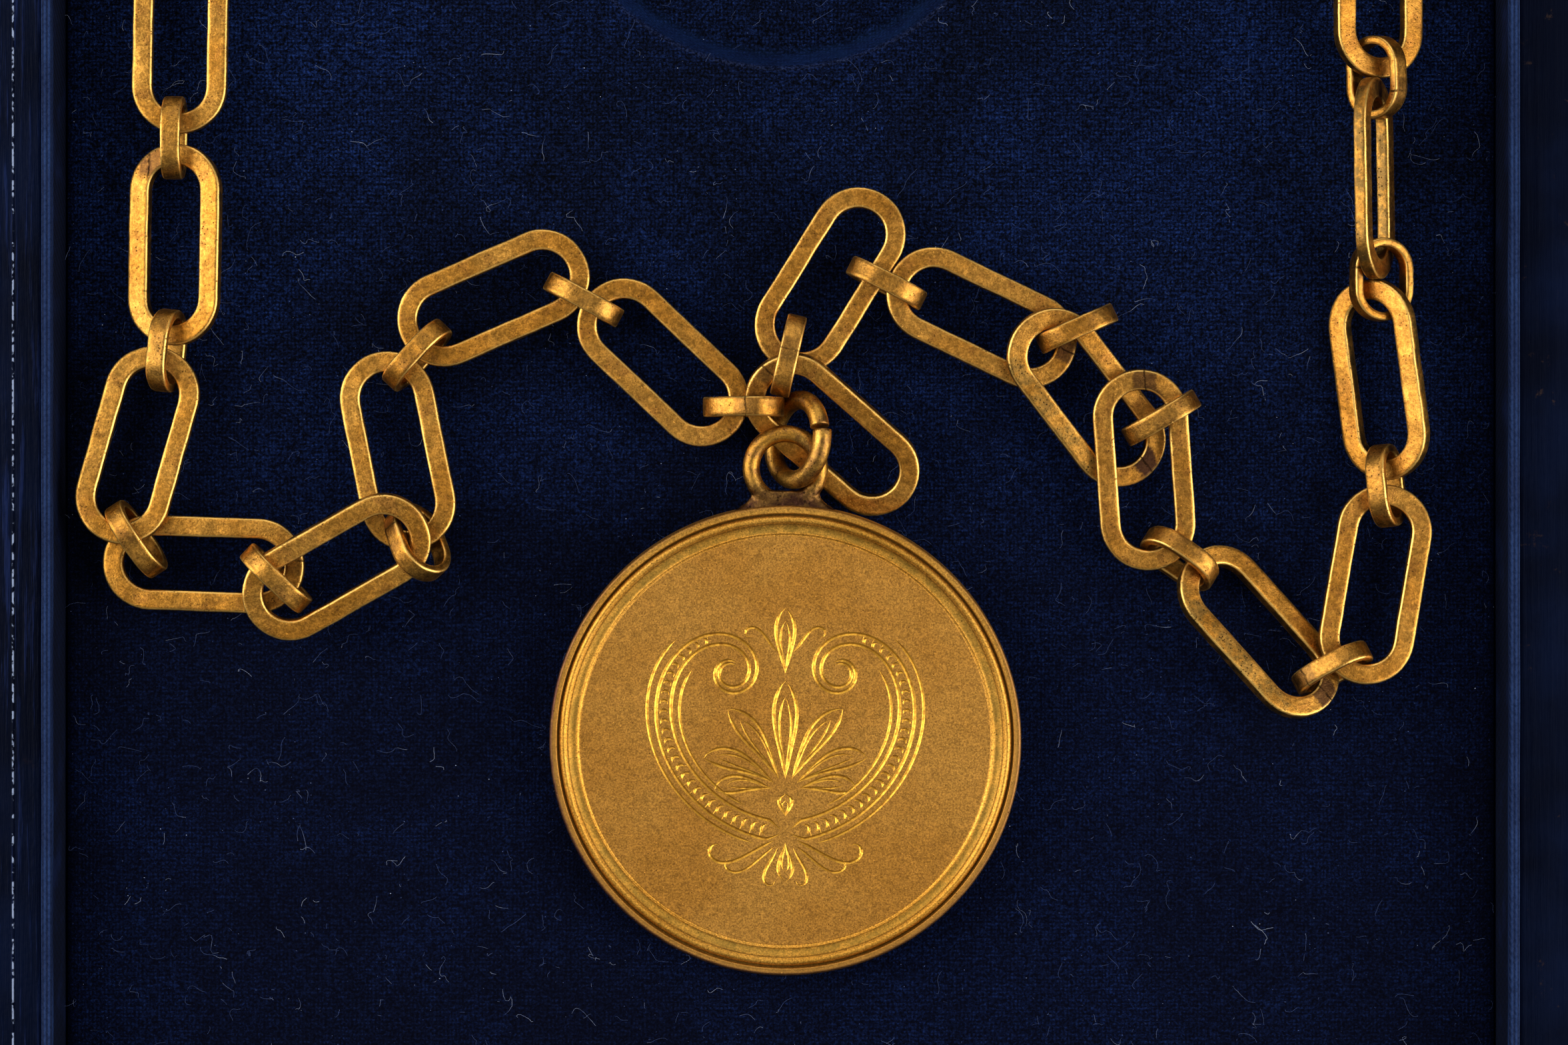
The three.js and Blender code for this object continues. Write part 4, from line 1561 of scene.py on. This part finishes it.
def lint_tree(material):
    """Curly fibres and specks scattered over the velvet's top."""
    inputs = [
        ("Fibres", "NodeSocketFloat", 1.0),
        ("Specks", "NodeSocketFloat", 1.0),
        ("Longest", "NodeSocketFloat", 0.003),
        ("Thickness", "NodeSocketFloat", 0.000013),
        ("Speck size", "NodeSocketFloat", 0.00006),
        ("Seed", "NodeSocketInt", 4),
    ]
    wires, given = new_tree("Lint", inputs)
    up = wires.math("GREATER_THAN", wires.split(wires.add("GeometryNodeInputNormal"))[2], 0.7)
    ground = {"Mesh": given["Geometry"], "Selection": up}
    sown = {**ground, "Seed": given["Seed"], "Density": given["Fibres"]}
    points = wires.add("GeometryNodeDistributePointsOnFaces", sown)
    strand = wires.add("GeometryNodeCurvePrimitiveLine", {"Start": (-0.5, 0, 0), "End": (0.5, 0, 0)})
    strand = wires.add("GeometryNodeResampleCurve", {"Curve": strand, "Count": 10})
    any_way = {0: (0, 0, 0), 1: (0.0, 0.0, 6.283)}
    spin = wires.add("FunctionNodeRandomValue", any_way, data_type="FLOAT_VECTOR")
    size = wires.add("FunctionNodeRandomValue", {2: 0.12, 3: 1.0, "Seed": 9}, data_type="FLOAT")
    length = wires.product(wires.math("POWER", size.outputs[1], 1.8), given["Longest"])
    scale = wires.add("ShaderNodeCombineXYZ", {0: length, 1: length, 2: length})
    fibres = {"Points": points, "Instance": strand, "Rotation": spin, "Scale": scale}
    fibres = wires.add("GeometryNodeInstanceOnPoints", fibres)
    fibres = wires.add("GeometryNodeRealizeInstances", {"Geometry": fibres})
    # Each is pushed about along its length, less so in height
    place = wires.add("GeometryNodeInputPosition")
    curl = wires.add("ShaderNodeTexNoise", {"Vector": place, "Scale": 520.0, "Detail": 1.0})
    shift = wires.vector("SUBTRACT", curl.outputs["Color"], (0.5, 0.5, 0.36))
    shift = wires.vector("MULTIPLY", shift, (0.005, 0.005, 0.0009))
    fibres = wires.add("GeometryNodeSetPosition", {"Geometry": fibres, "Offset": shift})
    section = {"Resolution": 3, "Radius": given["Thickness"]}
    section = wires.add("GeometryNodeCurvePrimitiveCircle", section)
    fibres = wires.add("GeometryNodeCurveToMesh", {"Curve": fibres, "Profile Curve": section})
    sown = {**ground, "Seed": wires.math("ADD", given["Seed"], 1), "Density": given["Specks"]}
    points = wires.add("GeometryNodeDistributePointsOnFaces", sown)
    grain = {"Radius": given["Speck size"], "Subdivisions": 1}
    grain = wires.add("GeometryNodeMeshIcoSphere", grain)
    stretch = {0: (0.3, 0.3, 0.3), 1: (1.5, 1.1, 0.7), "Seed": 2}
    stretch = wires.add("FunctionNodeRandomValue", stretch, data_type="FLOAT_VECTOR")
    specks = {"Points": points, "Instance": grain, "Scale": stretch}
    specks = wires.add("GeometryNodeInstanceOnPoints", specks)
    both = wires.add("GeometryNodeJoinGeometry")
    for item in (fibres, specks):
        wires.plug(both.inputs[0], item)
    whole = wires.add("GeometryNodeRealizeInstances", {"Geometry": both})
    whole = wires.add("GeometryNodeSetMaterial", {"Geometry": whole, "Material": material})
    wires.add("NodeGroupOutput", {"Geometry": whole})
    return wires.tree


class ScatterLint(bpy.types.Operator):
    """Scatter curly fibres and specks of dust over the velvet"""

    bl_idname = "medallion.lint"
    bl_label = "Lint on the velvet"

    def execute(self, context):
        case = context.scene.medallion_case
        low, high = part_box("velvet_pad")
        area = (high.x - low.x) * (high.y - low.y)
        ground = bpy.data.objects["velvet_bed"].data.copy()
        obj = add_piece("lint", ground)
        tree = lint_tree(lint_finish())
        grow(obj, tree, {"Fibres": case.fibres / area, "Specks": case.specks / area})
        settle(obj, "velvet")
        return {"FINISHED"}


def make_floor():
    """A pale floor just under the case."""
    corners = [(-3, -3, 0), (3, -3, 0), (3, 3, 0), (-3, 3, 0)]
    mesh = mesh_from("floor", corners, [(0, 1, 2, 3)], smooth=False)
    material, wires, shader, where = new_material("pale floor", Roughness=0.7)
    tone = wires.cloud(where, 0.01, 3.0)
    wires.plug(shader.inputs["Base Color"], wires.blend(tone, shade("d2d2d0"), shade("dcdcda")))
    floor = add_piece("floor", mesh, material)
    floor.location.z = -0.2 * MM


def make_world(strength):
    """A faintly cool, even light from all round."""
    world = bpy.data.worlds.new("studio")
    bpy.context.scene.world = world
    world.use_nodes = True
    back = world.node_tree.nodes["Background"]
    back.inputs["Color"].default_value = (0.92, 0.96, 1.0, 1.0)
    back.inputs["Strength"].default_value = strength


def make_lamp(name, place, power):
    """An upright oblong lamp that faces the chain."""
    data = bpy.data.lights.new(name, "AREA")
    data.shape = "RECTANGLE"
    data.size = 0.5
    data.size_y = 0.8
    data.energy = power
    lamp = bpy.data.objects.new(name, data)
    bpy.context.scene.collection.objects.link(lamp)
    aim = Vector((0, -0.05, 0.02))
    lamp.location = place
    lamp.rotation_euler = (aim - Vector(place)).to_track_quat("-Z", "Y").to_euler()


def make_camera(place):
    """A long lens straight down on the case."""
    data = bpy.data.cameras.new("camera")
    data.lens = 100
    data.sensor_width = 36
    data.clip_start = 0.01
    camera = bpy.data.objects.new("camera", data)
    bpy.context.scene.collection.objects.link(camera)
    camera.location = place
    bpy.context.scene.camera = camera


class BuildStage(bpy.types.Operator):
    """Make the floor, the lights and the camera"""

    bl_idname = "medallion.stage"
    bl_label = "Stage"

    def execute(self, context):
        stage = context.scene.medallion_stage
        make_floor()
        make_world(stage.fill)
        context.scene.view_settings.view_transform = "Standard"
        make_lamp("left light", (-0.62, 0.08, 0.44), stage.key)
        make_lamp("right light", (0.62, -0.18, 0.42), stage.key)
        make_lamp("far light", (0.0, 0.66, 0.46), stage.key * 0.3)
        make_camera((0.43 * MM, -50.3 * MM, stage.camera_height))
        return {"FINISHED"}


class MedallionPanel(bpy.types.Panel):
    """Lists the settings and the operators"""

    bl_idname = "VIEW3D_PT_medallion"
    bl_label = "Medallion"
    bl_space_type = "VIEW_3D"
    bl_region_type = "UI"
    bl_category = "Medallion"

    def draw(self, context):
        for group in GROUPS:
            box = self.layout.box()
            settings = getattr(context.scene, group)
            for name in settings.__annotations__:
                box.prop(settings, name)
        for operator in OPERATORS:
            self.layout.operator(operator.bl_idname)


GROUPS = {
    "medallion_metal": MedallionMetal,
    "medallion_chain": MedallionChain,
    "medallion_disc": MedallionDisc,
    "medallion_case": MedallionCase,
    "medallion_stage": MedallionStage,
}
OPERATORS = [
    BuildStage,
    MakeCaseShell,
    MakeLinings,
    MakeVelvetBed,
    MakeLongLinks,
    MakeShortLinks,
    MakeHiddenChain,
    MakeSplitRing,
    MakeMedallion,
    MakeLoop,
    ScatterLint,
]


def register():
    for item in (*GROUPS.values(), *OPERATORS, MedallionPanel):
        bpy.utils.register_class(item)
    for name, group in GROUPS.items():
        setattr(bpy.types.Scene, name, bpy.props.PointerProperty(type=group))


def unregister():
    for name in GROUPS:
        delattr(bpy.types.Scene, name)
    for item in reversed((*GROUPS.values(), *OPERATORS, MedallionPanel)):
        bpy.utils.unregister_class(item)


def main():
    register()
    for operator in OPERATORS:
        area, name = operator.bl_idname.split(".")
        if getattr(getattr(bpy.ops, area), name)() != {"FINISHED"}:
            raise RuntimeError(f"{operator.bl_label} wasn't made")


if __name__ == "__main__":
    main()
